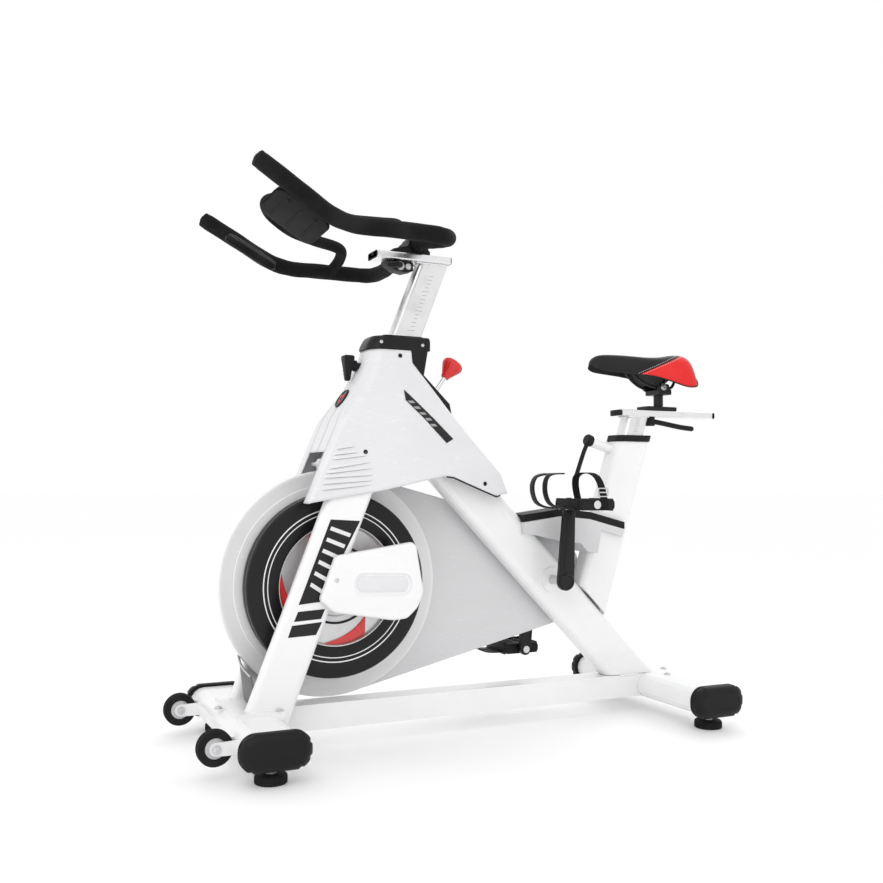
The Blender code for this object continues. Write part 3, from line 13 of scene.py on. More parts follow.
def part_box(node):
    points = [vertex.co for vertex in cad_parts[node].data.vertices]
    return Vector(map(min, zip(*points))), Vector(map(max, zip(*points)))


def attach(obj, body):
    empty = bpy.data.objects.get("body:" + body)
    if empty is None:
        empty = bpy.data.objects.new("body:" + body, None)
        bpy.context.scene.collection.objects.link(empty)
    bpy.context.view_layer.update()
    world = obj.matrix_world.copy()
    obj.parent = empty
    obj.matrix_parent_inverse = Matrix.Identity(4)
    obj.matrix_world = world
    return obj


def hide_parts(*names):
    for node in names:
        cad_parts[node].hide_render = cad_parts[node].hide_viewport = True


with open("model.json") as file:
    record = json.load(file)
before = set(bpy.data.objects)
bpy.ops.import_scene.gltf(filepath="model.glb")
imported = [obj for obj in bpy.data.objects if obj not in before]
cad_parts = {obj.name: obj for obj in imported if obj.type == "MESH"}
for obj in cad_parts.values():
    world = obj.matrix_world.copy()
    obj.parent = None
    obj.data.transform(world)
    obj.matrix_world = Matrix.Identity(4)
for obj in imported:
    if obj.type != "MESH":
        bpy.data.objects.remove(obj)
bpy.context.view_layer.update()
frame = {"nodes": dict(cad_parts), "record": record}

JOINTS = {joint["name"]: joint for joint in frame["record"]["behaviour"]["joints"]}
UP = Vector((0, 0, 1))
LEFT = Vector((0, 1, 0))
FRONT = Vector((1, 0, 0))

# Outlines are measured along X from the middle of the wheelbase, AHEAD of the frame's origin.
AHEAD = JOINTS["flywheel_spin"]["pos_m"][0] - 0.2694


def pivot(name):
    x, y, z = JOINTS[name]["pos_m"]
    return Vector((x - AHEAD, y, z))


def room(node):
    """Lowest and highest corners of a solid, from the middle of the wheelbase."""
    low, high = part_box(node)
    return Vector(low) - FRONT * AHEAD, Vector(high) - FRONT * AHEAD


FLYWHEEL = pivot("flywheel_spin")
CRANKS = pivot("crank_spin")
PEDALS = {"left": pivot("pedal_left_spin"), "right": pivot("pedal_right_spin")}
WHEEL_RADIUS = (room("flywheel")[1].z - room("flywheel")[0].z) / 2
SIDES = (("left", 1), ("right", -1))


# ---- finishes -------------------------------------------------------------------------------
class Value:
    """A number carried through a finish; arithmetic on it adds the nodes."""

    def __init__(self, finish, socket):
        self.finish = finish
        self.socket = socket

    def math(self, operation, *others):
        sockets = dict(enumerate((self, *others)))
        return self.finish.add("ShaderNodeMath", {"operation": operation}, sockets)

    def __add__(self, other):
        return self.math("ADD", other)

    def __sub__(self, other):
        return self.math("SUBTRACT", other)

    def __rsub__(self, other):
        return self.finish.add("ShaderNodeMath", {"operation": "SUBTRACT"}, {0: other, 1: self})

    def __mul__(self, other):
        return self.math("MULTIPLY", other)

    def __truediv__(self, other):
        return self.math("DIVIDE", other)

    def __pow__(self, other):
        return self.math("POWER", other)

    __radd__ = __add__
    __rmul__ = __mul__

    def above(self, edge):
        return self.math("GREATER_THAN", edge)

    def below(self, edge):
        return self.math("LESS_THAN", edge)

    def band(self, centre, half):
        """1 within half of the centre, 0 elsewhere."""
        return self.math("COMPARE", centre, half)

    def size(self):
        return self.math("ABSOLUTE")

    def ramp(self, low, high, start=0.0, end=1.0):
        """Smooth climb from start to end as the value goes from low to high."""
        return self.finish.add("ShaderNodeMapRange", {"interpolation_type": "SMOOTHSTEP"},
                               {0: self, 1: low, 2: high, 3: start, 4: end})


class Finish:
    """One material, with its nodes added by name."""

    def __init__(self, name, colour, roughness, metallic=0.0, coat=0.0, specular=0.5):
        self.material = bpy.data.materials.new(name)
        self.material.use_nodes = True
        self.material.diffuse_color = (*colour, 1.0)
        self.tree = self.material.node_tree
        self.shader = self.tree.nodes["Principled BSDF"]
        self.colour = colour
        fixed = {"Base Color": (*colour, 1.0), "Roughness": roughness, "Metallic": metallic,
                 "Coat Weight": coat, "Coat Roughness": 0.08, "Specular IOR Level": specular}
        for socket, value in fixed.items():
            self.shader.inputs[socket].default_value = value
        self.place = self.add("ShaderNodeTexCoord", {}, {}, "Object")

    def add(self, kind, settings, sockets, out=0):
        node = self.tree.nodes.new(kind)
        for setting, value in settings.items():
            setattr(node, setting, value)
        for socket, value in sockets.items():
            if isinstance(value, Value):
                self.tree.links.new(value.socket, node.inputs[socket])
            else:
                node.inputs[socket].default_value = value
        return Value(self, node.outputs[out])

    def feed(self, socket, value):
        self.tree.links.new(value.socket, self.shader.inputs[socket])
        return self

    def along(self, axis):
        """Coordinate 0, 1 or 2, in metres."""
        return self.add("ShaderNodeSeparateXYZ", {}, {0: self.place}, axis)

    def stretched(self, scale):
        return self.add("ShaderNodeMapping", {}, {"Vector": self.place, "Scale": scale})

    def noise(self, scale, detail=2.0, stretch=None):
        where = self.stretched(stretch) if stretch else self.place
        return self.add("ShaderNodeTexNoise", {}, {"Vector": where, "Scale": scale, "Detail": detail})

    def cells(self, scale, feature="F1"):
        return self.add("ShaderNodeTexVoronoi", {"feature": feature},
                        {"Vector": self.place, "Scale": scale})

    def blend(self, mask, first, second):
        """Colour that goes from first to second with the mask."""
        pair = {6: first, 7: second}
        sockets = {0: mask}
        for socket, colour in pair.items():
            sockets[socket] = colour if isinstance(colour, Value) else (*colour, 1.0)
        return self.add("ShaderNodeMix", {"data_type": "RGBA"}, sockets, 2)

    def radius(self, centre):
        """Distance from a line along Y through the centre."""
        across = self.along(0) - (centre.x + AHEAD)
        rise = self.along(2) - centre.z
        return (across * across + rise * rise) ** 0.5

    def relief(self, height, depth):
        """Height of 0 to 1 raised by depth in metres."""
        normal = self.add("ShaderNodeBump", {}, {"Strength": 1.0, "Distance": depth, "Height": height})
        return self.feed("Normal", normal)


def tinted(colour, amount):
    return tuple(min(1.0, part * amount) for part in colour)


def painted(name, colour, roughness=0.24, grime=0.93):
    """Glossy sprayed paint: orange peel, faint clouding, and a little dust towards the floor."""
    paint = Finish(name, colour, roughness, coat=0.5)
    peel = paint.noise(520.0, 2.0)
    cloud = paint.noise(9.0, 3.0)
    dust = paint.along(2).ramp(0.02, 0.22, 1.0, 0.0) * paint.noise(60.0, 4.0)
    clean = paint.blend(cloud.ramp(0.35, 0.75), colour, tinted(colour, 0.965))
    paint.feed("Base Color", paint.blend(dust * 0.5, clean, tinted(colour, grime)))
    paint.feed("Roughness", roughness + 0.10 * cloud + 0.25 * dust)
    return paint.relief(peel + cloud * 0.6, 0.00008)


def moulded(name, colour, roughness=0.42, grain=900.0, depth=0.00010, scuff=0.85, specular=0.5):
    """Moulded plastic with a spark-eroded grain, flow marks and light scuffs."""
    plastic = Finish(name, colour, roughness, specular=specular)
    grains = plastic.cells(grain)
    flow = plastic.noise(7.0, 4.0, (1.0, 1.0, 2.5))
    scuffs = plastic.noise(55.0, 5.0, (1.0, 1.0, 6.0)).ramp(0.58, 0.74)
    base = plastic.blend(flow.ramp(0.3, 0.8), colour, tinted(colour, scuff))
    plastic.feed("Base Color", plastic.blend(scuffs * 0.25, base, tinted(colour, 1.35)))
    plastic.feed("Roughness", roughness + 0.12 * flow + 0.14 * scuffs)
    return plastic.relief(grains.ramp(0.0, 0.6) + 0.3 * flow, depth)


def foam(name, colour):
    """Dense grip foam: open pores, a soft sheen and rubbed patches."""
    grip = Finish(name, colour, 0.78, specular=0.16)
    pores = grip.cells(1500.0)
    lumps = grip.noise(240.0, 4.0)
    rubbed = grip.noise(14.0, 3.0).ramp(0.45, 0.75)
    base = grip.blend(rubbed, colour, tinted(colour, 1.9))
    grip.feed("Base Color", grip.blend(pores.ramp(0.05, 0.35, 0.5, 0.0), base, tinted(colour, 0.4)))
    grip.feed("Roughness", 0.84 - 0.22 * rubbed)
    return grip.relief(pores.ramp(0.0, 0.5) + 0.7 * lumps, 0.00028)


def rubber(name, colour, roughness=0.72):
    tyre = Finish(name, colour, roughness, specular=0.2)
    fine = tyre.noise(1400.0, 3.0)
    bloom = tyre.noise(22.0, 4.0)
    tyre.feed("Base Color", tyre.blend(bloom.ramp(0.4, 0.8), colour, tinted(colour, 2.2)))
    tyre.feed("Roughness", roughness - 0.1 + 0.25 * bloom)
    return tyre.relief(fine, 0.00012)


def brushed(name, colour, roughness, stretch, depth=0.00003):
    """Plated or brushed metal with fine parallel lines and faint handling marks."""
    metal = Finish(name, colour, roughness, 1.0)
    lines = metal.noise(1.0, 5.0, stretch)
    marks = metal.noise(28.0, 5.0).ramp(0.5, 0.8)
    metal.feed("Base Color", metal.blend(marks * 0.5, colour, tinted(colour, 0.80)))
    metal.feed("Roughness", roughness + 0.10 * lines + 0.12 * marks)
    return metal.relief(lines, depth)


def black_enamel(name):
    """Black paint on steel, slightly leathery, with a few rubbed specks."""
    paint = Finish(name, (0.007, 0.007, 0.008), 0.34, coat=0.08, specular=0.25)
    skin = paint.cells(650.0, "SMOOTH_F1")
    patches = paint.noise(30.0, 4.0)
    specks = paint.noise(420.0, 2.0).ramp(0.70, 0.78)
    paint.feed("Base Color", paint.blend(specks * 0.4, (0.007, 0.007, 0.008), (0.06, 0.06, 0.06)))
    paint.feed("Roughness", 0.28 + 0.18 * patches)
    return paint.relief(skin + 0.4 * patches, 0.00010)


def flywheel_paint():
    """Black rim with fine white rings round a radially brushed silver dish."""
    wheel = Finish("flywheel_paint", (0.007, 0.007, 0.008), 0.30, coat=0.06, specular=0.25)
    radius = wheel.radius(FLYWHEEL) / WHEEL_RADIUS
    side = wheel.along(1).size().above(0.0035)
    lines = radius.band(0.822, 0.0062)
    for place, half in ((0.776, 0.0052), (0.652, 0.0040)):
        lines = lines + radius.band(place, half)
    dish = radius.below(0.646) * side
    turning = wheel.noise(1.0, 4.0, (60.0, 60.0, 60.0))
    sweep = wheel.add("ShaderNodeTexWave", {"wave_type": "RINGS", "rings_direction": "Y"},
                      {"Vector": wheel.add("ShaderNodeVectorMath", {"operation": "SUBTRACT"},
                                           {0: wheel.place, 1: tuple(FLYWHEEL + FRONT * AHEAD)}),
                       "Scale": 260.0, "Distortion": 0.6})
    worn = wheel.noise(40.0, 5.0).ramp(0.62, 0.80)
    black = wheel.blend(worn * 0.3, (0.006, 0.006, 0.007), (0.03, 0.03, 0.031))
    silver = wheel.blend(turning, (0.60, 0.60, 0.61), (0.74, 0.74, 0.75))
    coloured = wheel.blend(dish, black, silver)
    wheel.feed("Base Color", wheel.blend(lines * side, coloured, (0.86, 0.86, 0.86)))
    wheel.feed("Metallic", dish * 0.75 * (1 - lines))
    wheel.feed("Roughness", 0.26 + 0.10 * turning + 0.08 * worn)
    return wheel.relief(sweep * (0.25 + dish * 0.75) + 0.3 * turning, 0.00006)


def saddle_vinyl():
    """Black grained cover with red rear panels, a welted seam between them and its stitches."""
    cover = Finish("saddle_vinyl", (0.008, 0.008, 0.009), 0.48, specular=0.25)
    x = cover.along(0) - AHEAD
    z = cover.along(2)
    edge = z - (0.7856 + 0.432 * (-0.4657 - x))
    behind = x.below(-0.4600)
    wing = edge.below(0.0) * behind
    grain = cover.cells(1050.0, "SMOOTH_F1")
    creases = cover.noise(170.0, 4.0)
    perforated = cover.cells(210.0).below(0.22) * (1 - wing) * cover.along(1).size().below(0.030)
    seam = edge.size().ramp(0.0006, 0.0022, 1.0, 0.0) * behind
    stitch = (x * 1250.0).math("SINE").above(-0.2) * (edge.size() - 0.0034).size().below(0.0006) * behind
    soft = cover.noise(20.0, 3.0)
    black = cover.blend(soft, (0.006, 0.006, 0.007), (0.014, 0.014, 0.015))
    red = cover.blend(soft, (0.66, 0.012, 0.014), (0.78, 0.030, 0.028))
    panels = cover.blend(wing, black, red)
    panels = cover.blend(seam * 0.7, panels, (0.010, 0.010, 0.010))
    cover.feed("Base Color", cover.blend(stitch, panels, (0.55, 0.55, 0.55)))
    cover.feed("Roughness", 0.40 + 0.22 * soft)
    height = 0.35 * grain + 0.25 * creases - 1.6 * seam + 1.2 * stitch - 1.4 * perforated
    return cover.relief(height, 0.00035)


def webbing(name):
    """Woven strap: crossed ribs with a raised selvedge."""
    strap = Finish(name, (0.010, 0.010, 0.011), 0.75, specular=0.15)
    warp = strap.add("ShaderNodeTexWave", {"bands_direction": "X"},
                     {"Vector": strap.place, "Scale": 260.0, "Distortion": 0.3})
    weft = strap.add("ShaderNodeTexWave", {"bands_direction": "DIAGONAL"},
                     {"Vector": strap.place, "Scale": 330.0, "Distortion": 0.4})
    fuzz = strap.noise(900.0, 3.0)
    strap.feed("Base Color", strap.blend(warp * weft, (0.006, 0.006, 0.006), (0.026, 0.026, 0.028)))
    strap.feed("Roughness", 0.65 + 0.25 * fuzz)
    return strap.relief(warp * 0.6 + weft * 0.6 + fuzz * 0.3, 0.00035)


def felt(name):
    pad = Finish(name, (0.30, 0.27, 0.22), 0.95, specular=0.1)
    fibre = pad.noise(1.0, 6.0, (900.0, 300.0, 900.0))
    tufts = pad.noise(220.0, 5.0)
    pad.feed("Base Color", pad.blend(tufts, (0.22, 0.20, 0.16), (0.40, 0.36, 0.30)))
    pad.feed("Roughness", 0.85 + 0.12 * fibre)
    return pad.relief(fibre + tufts, 0.0005)


def printed(name, colour, specular=0.3):
    """Vinyl decal film with faint ink mottling."""
    film = Finish(name, colour, 0.30, coat=0.1, specular=specular)
    ink = film.noise(700.0, 3.0)
    cloud = film.noise(25.0, 3.0)
    film.feed("Base Color", film.blend(cloud, colour, tinted(colour, 0.86)))
    film.feed("Roughness", 0.26 + 0.12 * ink)
    return film.relief(ink, 0.00004)


WHITE = painted("white_enamel", (0.86, 0.86, 0.865))
SHELL = moulded("shell_plastic", (0.74, 0.74, 0.755), 0.34, 800.0, 0.00004, 0.97)
GUARD = moulded("guard_plastic", (0.86, 0.86, 0.865), 0.30, 800.0, 0.00003, 0.97)
# Grey moulded plastic, also used as painted shade: the belt case's rear band is white plastic in shade,
# coloured grey here.
GREY_AND_SHADE = moulded("case_plastic", (0.66, 0.66, 0.67), 0.38, 800.0, 0.00005, 0.96)
# Dark grey for the splash guard: painted shade for the shaded space between the legs.
GUARD_SHADE = moulded("splash_guard_grey", (0.16, 0.16, 0.165), 0.40, specular=0.35)
BLACK = moulded("black_plastic", (0.007, 0.007, 0.008), specular=0.22)
GLOSS_BLACK = moulded("gloss_black_plastic", (0.006, 0.006, 0.007), 0.26, 500.0, 0.00004, specular=0.28)
FOAM = foam("grip_foam", (0.007, 0.007, 0.0075))
RUBBER = rubber("black_rubber", (0.008, 0.008, 0.008))
IRON = black_enamel("black_enamel")
STEEL = brushed("bright_steel", (0.76, 0.77, 0.78), 0.16, (900.0, 900.0, 12.0))
RAIL_POST = brushed("post_steel", (0.80, 0.79, 0.80), 0.30, (900.0, 900.0, 14.0))
RAIL = brushed("rail_steel", (0.80, 0.80, 0.81), 0.20, (14.0, 900.0, 900.0))
BOLT = brushed("plated_bolt", (0.66, 0.66, 0.67), 0.28, (400.0, 400.0, 400.0), 0.00006)
RED = moulded("red_plastic", (0.70, 0.022, 0.022), 0.30, 700.0, 0.00004, 0.90)
FLY = flywheel_paint()
BLADE = painted("blade_red", (0.72, 0.025, 0.022), 0.26, 0.9)
SADDLE = saddle_vinyl()
STRAP = webbing("strap_webbing")
FELT = felt("brake_felt")
INK_BLACK = printed("decal_black", (0.007, 0.007, 0.008))
INK_WHITE = printed("decal_white", (0.80, 0.80, 0.80))
# Grey ink for printed marks, also used for the painted shadow lines under the shroud louvres.
GREY_INK_AND_SHADOW = printed("decal_grey", (0.36, 0.36, 0.37))


# ---- shapes ---------------------------------------------------------------------------------
def placed(axis, across, up, depth):
    return {"x": (depth, across, up), "y": (across, depth, up), "z": (across, up, depth)}[axis]


def shrunk(outline, amount):
    """Outline moved inward by amount at every corner."""
    area = sum(a[0] * b[1] - b[0] * a[1] for a, b in zip(outline, outline[1:] + outline[:1]))
    sign = 1 if area > 0 else -1
    moved = []
    for at, here in enumerate(outline):
        before, after = Vector(outline[at - 1]), Vector(outline[(at + 1) % len(outline)])
        first, second = (Vector(here) - before).normalized(), (after - Vector(here)).normalized()
        normals = [Vector((-edge.y, edge.x)) * sign for edge in (first, second)]
        middle = normals[0] + normals[1]
        scale = amount / max(0.35, middle.length_squared / 2)
        moved.append(tuple(Vector(here) + middle * scale))
    return moved


def round_rect(width, height, radius, steps=6):
    """Corners of a rounded rectangle about zero, counter-clockwise."""
    corners = []
    for side_x, side_y, start in ((1, 1, 0), (-1, 1, 90), (-1, -1, 180), (1, -1, 270)):
        for step in range(steps + 1):
            turn = math.radians(start + 90 * step / steps)
            corners.append((side_x * (width / 2 - radius) + radius * math.cos(turn),
                            side_y * (height / 2 - radius) + radius * math.sin(turn)))
    return corners


def rect_at(across, up, width, height, radius, steps):
    """Rounded rectangle about a point."""
    return [(across + a, up + b) for a, b in round_rect(width, height, radius, steps)]


def ray(degrees):
    """Unit vector in the side view, turned up from the front."""
    angle = math.radians(degrees)
    return Vector((math.cos(angle), 0, math.sin(angle)))


def circle(radius, steps):
    turns = [2 * math.pi * step / steps for step in range(steps)]
    return [(radius * math.cos(turn), radius * math.sin(turn)) for turn in turns]


def curved(points, steps=5):
    """Smooth path through all the points."""
    points = [Vector(point) for point in points]
    padded = [points[0]] + points + [points[-1]]
    path = []
    for a, b, c, d in zip(padded, padded[1:], padded[2:], padded[3:]):
        for step in range(steps):
            t = step / steps
            path.append(0.5 * (2 * b + (c - a) * t + (2 * a - 5 * b + 4 * c - d) * t * t
                               + (3 * b - a - 3 * c + d) * t ** 3))
    return path + [points[-1]]


def between(table, at, column):
    """Value of a column at a height, from rows that start with heights."""
    for low, high in zip(table, table[1:]):
        if at <= high[0] or high is table[-1]:
            share = min(1.0, max(0.0, (at - low[0]) / (high[0] - low[0])))
            return low[column] + (high[column] - low[column]) * share


class Shape:
    """Faces gathered for one piece, placed from the middle of the wheelbase."""

    def __init__(self):
        self.mesh = bmesh.new()
        self.finish = 0

    def use(self, finish):
        self.finish = finish
        return self

    def skin(self, rings, ends=True, wrap=False, sheet=False, lining=None):
        """Faces between successive rings; a sheet's rows stay open."""
        rows = [[self.mesh.verts.new(Vector(point) + FRONT * AHEAD) for point in ring] for ring in rings]
        for first, second in zip(rows, rows[1:] + (rows[:1] if wrap else [])):
            for at in range(len(first) - (1 if sheet else 0)):
                after = (at + 1) % len(first)
                corners = (first[at], first[after], second[after], second[at])
                lined = lining is not None and at >= lining
                self.mesh.faces.new(corners).material_index = self.finish + (1 if lined else 0)
        if ends and not wrap and not sheet:
            for row in (rows[0][::-1], rows[-1]):
                self.mesh.faces.new(row).material_index = self.finish
        return self

    def slab(self, outline, axis, start, end, rounding=0.0, steps=3):
        """Plate of an outline, its two rims rounded."""
        layers = [(0.0, 0.0)]
        if rounding:
            turns = [math.pi / 2 * step / steps for step in range(steps + 1)]
            layers = [(1 - math.cos(turn), 1 - math.sin(turn)) for turn in turns]
        way = 1 if end > start else -1
        rings = [(start + way * rounding * deep, rounding * inset) for deep, inset in layers]
        rings += [(end - way * rounding * deep, rounding * inset) for deep, inset in reversed(layers)]
        return self.skin([[placed(axis, a, b, depth) for a, b in shrunk(outline, inset)]
                          for depth, inset in rings])

    def turned(self, profile, centre, axis, steps=64, wrap=False):
        """Profile of (radius, distance along) spun about an axis."""
        axis = Vector(axis).normalized()
        side = axis.cross(UP if abs(axis.z) < 0.9 else FRONT).normalized()
        other = axis.cross(side)
        rings = []
        for radius, along in profile:
            rings.append([Vector(centre) + axis * along + side * a + other * b
                          for a, b in circle(max(radius, 0.0002), steps)])
        return self.skin(rings, wrap=wrap)

    def tube(self, path, radius, steps=20, dome=0.0):
        """Round bar along a path, its ends domed."""
        path = [Vector(point) for point in path]
        radii = list(radius) if isinstance(radius, (list, tuple)) else [radius] * len(path)
        ways = [(b - a).normalized() for a, b in zip(path, path[1:])]
        ways = [ways[0]] + [(a + b).normalized() for a, b in zip(ways, ways[1:])] + [ways[-1]]
        side = ways[0].cross(UP if abs(ways[0].z) < 0.95 else LEFT).normalized()
        rings = []
        for point, way, size in zip(path, ways, radii):
            side = (side - way * side.dot(way)).normalized()
            rings.append((point, side, side.cross(way), size, way))
        domed = [(dome * math.sin(turn), max(0.12, math.cos(turn)))
                 for turn in map(math.radians, (22, 45, 68, 90))] if dome else []
        stations = [(rings[0], -shift, part) for shift, part in reversed(domed)]
        stations += [(ring, 0.0, 1.0) for ring in rings]
        stations += [(rings[-1], shift, part) for shift, part in domed]
        return self.skin([[point + way * shift + (side * a + up * b) * size * part
                           for a, b in circle(1.0, steps)]
                          for (point, side, up, size, way), shift, part in stations])

    def bolt(self, centre, axis, radius=0.0055, height=0.0035, sides=6):
        """Head with a chamfer, a washer and a recess."""
        self.turned([(radius * 1.35, -0.0004), (radius * 1.35, 0.0007)], centre, axis, 28)
        self.turned([(radius, 0.0007), (radius, height * 0.8), (radius * 0.86, height),
                     (radius * 0.45, height), (radius * 0.40, height * 0.5)], centre, axis, sides)
        return self

    def dome(self, centre, axis, radius=0.006, height=0.0028):
        """Round socket screw."""
        profile = [(radius, -0.0004), (radius, height * 0.35)]
        profile += [(radius * math.cos(turn), height * (0.35 + 0.65 * math.sin(turn))) for turn in (0.4,
                                                            0.8, 1.1)]
        profile += [(radius * 0.42, height), (radius * 0.38, height * 0.35)]
        return self.turned(profile, centre, axis, 24)

    def made(self, name, body, slot, finishes, replaced=(), bevel=0.0, levels=0, thickness=0.0, sharp=35,
             recalc=True):
        if recalc:
            bmesh.ops.recalc_face_normals(self.mesh, faces=self.mesh.faces)
        data = bpy.data.meshes.new(name)
        self.mesh.to_mesh(data)
        self.mesh.free()
        piece = bpy.data.objects.new(name, data)
        bpy.context.scene.collection.objects.link(piece)
        for finish in finishes:
            data.materials.append(finish.material)
        data.polygons.foreach_set("use_smooth", [True] * len(data.polygons))
        if not bevel:
            data.set_sharp_from_angle(angle=math.radians(sharp))
        if thickness:
            wall = piece.modifiers.new("wall", "SOLIDIFY")
            wall.thickness = thickness
            wall.offset = -1.0
        if bevel:
            rounded_edges(piece, bevel)
        if levels:
            smoother = piece.modifiers.new("smoother", "SUBSURF")
            smoother.levels = levels
            smoother.render_levels = levels
        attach(piece, body)
        if replaced:
            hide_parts(*replaced)
        return piece


def rounded_edges(piece, width):
    rounding = piece.modifiers.new("rounded edges", "BEVEL")
    rounding.width = width
    rounding.segments = 3
    rounding.limit_method = "ANGLE"
    rounding.angle_limit = math.radians(32)
    rounding.harden_normals = True


def dress(node, finish):
    """Give a solid its finish."""
    data = frame["nodes"][node].data
    data.materials.clear()
    data.materials.append(finish.material)
    data.polygons.foreach_set("material_index", [0] * len(data.polygons))


# ---- stage ----------------------------------------------------------------------------------
def build_stage():
    scene = bpy.context.scene
    scene.view_settings.view_transform = "Standard"
    scene.view_settings.look = "None"
    floor_finish = Finish("studio_floor", (0.93, 0.93, 0.93), 0.6, specular=0.15)
    speck = floor_finish.noise(3.0, 2.0)
    floor_finish.shader.inputs["Emission Color"].default_value = (1.0, 1.0, 1.0, 1.0)
    floor_finish.shader.inputs["Emission Strength"].default_value = 0.055
    floor_finish.feed("Base Color", floor_finish.blend(speck, (0.925, 0.925, 0.925), (0.94, 0.94, 0.94)))
    mesh = bmesh.new()
    corners = [mesh.verts.new(place) for place in ((-40, -40, 0), (40, -40, 0), (40, 40, 0), (-40, 40, 0))]
    mesh.faces.new(corners)
    data = bpy.data.meshes.new("studio_floor")
    mesh.to_mesh(data)
    floor = bpy.data.objects.new("studio_floor", data)
    data.materials.append(floor_finish.material)
    scene.collection.objects.link(floor)

    world = bpy.data.worlds.new("studio")
    world.use_nodes = True
    world.node_tree.nodes["Background"].inputs[0].default_value = (1.0, 1.0, 1.0, 1.0)
    world.node_tree.nodes["Background"].inputs[1].default_value = 1.0
    scene.world = world
    target = Vector((0.0, 0.0, 0.5))
    for name, place, size, power in (("key", (1.6, 2.4, 3.2), 2.2, 26), ("rim", (-2.4, -1.4, 2.6), 1.8, 20),
                                     ("front", (3.2, 0.6, 1.4), 1.6, 6)):
        lamp = bpy.data.lights.new(name, "AREA")
        lamp.size = size
        lamp.energy = power
        light = bpy.data.objects.new(name, lamp)
        scene.collection.objects.link(light)
        light.location = place
        light.rotation_euler = (target - Vector(place)).to_track_quat("-Z", "Y").to_euler()


def build_camera():
    yaw, pitch, roll = math.radians(-115.12), math.radians(2.36), math.radians(0.22)
    ahead = Vector((math.cos(pitch) * math.cos(yaw), math.cos(pitch) * math.sin(yaw), math.sin(pitch)))
    right = ahead.cross(UP).normalized()
    top = right.cross(ahead)
    across = math.cos(roll) * right + math.sin(roll) * top
    upward = math.cos(roll) * top - math.sin(roll) * right
    lens = bpy.data.cameras.new("camera")
    lens.lens = 40.62
    lens.sensor_width = 36.0
    camera = bpy.data.objects.new("camera", lens)
    bpy.context.scene.collection.objects.link(camera)
    camera.matrix_world = Matrix.Translation((1.0013, 1.9456, 0.5305)) @ Matrix(
        (across, upward, -ahead)).transposed().to_4x4()
    bpy.context.scene.camera = camera


# ---- wheels and feet ------------------------------------------------------------------------
def build_transport_wheels():
    for hand, _ in SIDES:
        centre = pivot(f"wheel_{hand}_spin")
        low, high = room(f"transport_wheel_{hand}")
        big, half = (high.z - low.z) / 2, (high.y - low.y) / 2
        wheel = Shape()
        tyre = [(0.0185, -half + 0.0025), (0.0195, -half), (big - 0.005, -half),
                (big - 0.0015, -half + 0.0015),
                (big, -half + 0.0045), (big, -0.0035), (big - 0.0012, -0.0025), (big - 0.0012, 0.0025),
                (big, 0.0035), (big, half - 0.0045), (big - 0.0015, half - 0.0015), (big - 0.005, half),
                (0.0195, half), (0.0185, half - 0.0025)]
        wheel.turned(tyre, centre, LEFT, 72, wrap=True)
        hub = [(0.0052, -half + 0.001), (0.0125, -half + 0.001), (0.0140, -half + 0.0035),
               (0.0184, -half + 0.0035),
               (0.0184, half - 0.0035), (0.0140, half - 0.0035), (0.0125, half - 0.001),
               (0.0052, half - 0.001)]
        wheel.use(1).turned(hub, centre, LEFT, 48, wrap=True)
        for turn in range(5):
            spot = centre + ray(72 * turn) * 0.0160
            for out in (1, -1):
                wheel.turned([(0.0016, 0.0), (0.0016, 0.0012)], spot + LEFT * out * (half - 0.0038),
                             LEFT * out, 14)
        wheel.made(f"transport_wheel_{hand}_tyre", f"wheel_{hand}", "black_plastic", [RUBBER, GREY_AND_SHADE],
                   [f"transport_wheel_{hand}"])
        pin = Shape()
        for out in (1, -1):
            pin.bolt(centre + LEFT * out * (half + 0.0060), LEFT * out, 0.0062, 0.0045)
        pin.made(f"transport_wheel_{hand}_bolt", "frame", "bright_steel", [BOLT])


def build_feet():
    for place in ("front", "rear"):
        for hand, _ in SIDES:
            name = f"level_foot_{place}_{hand}"
            low, high = room(name)
            centre = Vector(((low.x + high.x) / 2, (low.y + high.y) / 2, 0.0))
            big = (high.x - low.x) / 2 - 0.0003
            foot = Shape()
            rings = []
            for radius, height in ((0.92, 0.0), (1.0, 0.0018), (1.0, 0.0120), (0.985, 0.0132),
                                   (0.985, 0.0142),
                                   (0.96, 0.0150), (0.90, 0.0168), (0.62, 0.0172), (0.58, 0.0178)):
                ring = []
                for step in range(144):
                    turn = 2 * math.pi * step / 144
                    notch = 0.965 if (step // 3) % 2 and 0.001 < height < 0.014 else 1.0
                    ring.append(centre + Vector((math.cos(turn), math.sin(turn), 0)) * big * radius * notch
                                + UP * height)
                rings.append(ring)
            foot.skin(rings)
            foot.use(1).turned([(0.0115, 0.0176), (0.0115, 0.0218), (0.0100, 0.0228), (0.0066, 0.0228)],
                               centre, UP, 6)
            thread = []
            for step in range(34):
                along = 0.0229 + step * 0.00115
                thread.append((0.0052 if step % 2 else 0.0057, along))
            foot.turned(thread, centre, UP, 24)
            foot.made(f"{name}_pad", f"foot_{place}_{hand}", "black_rubber", [RUBBER, BOLT], [name])


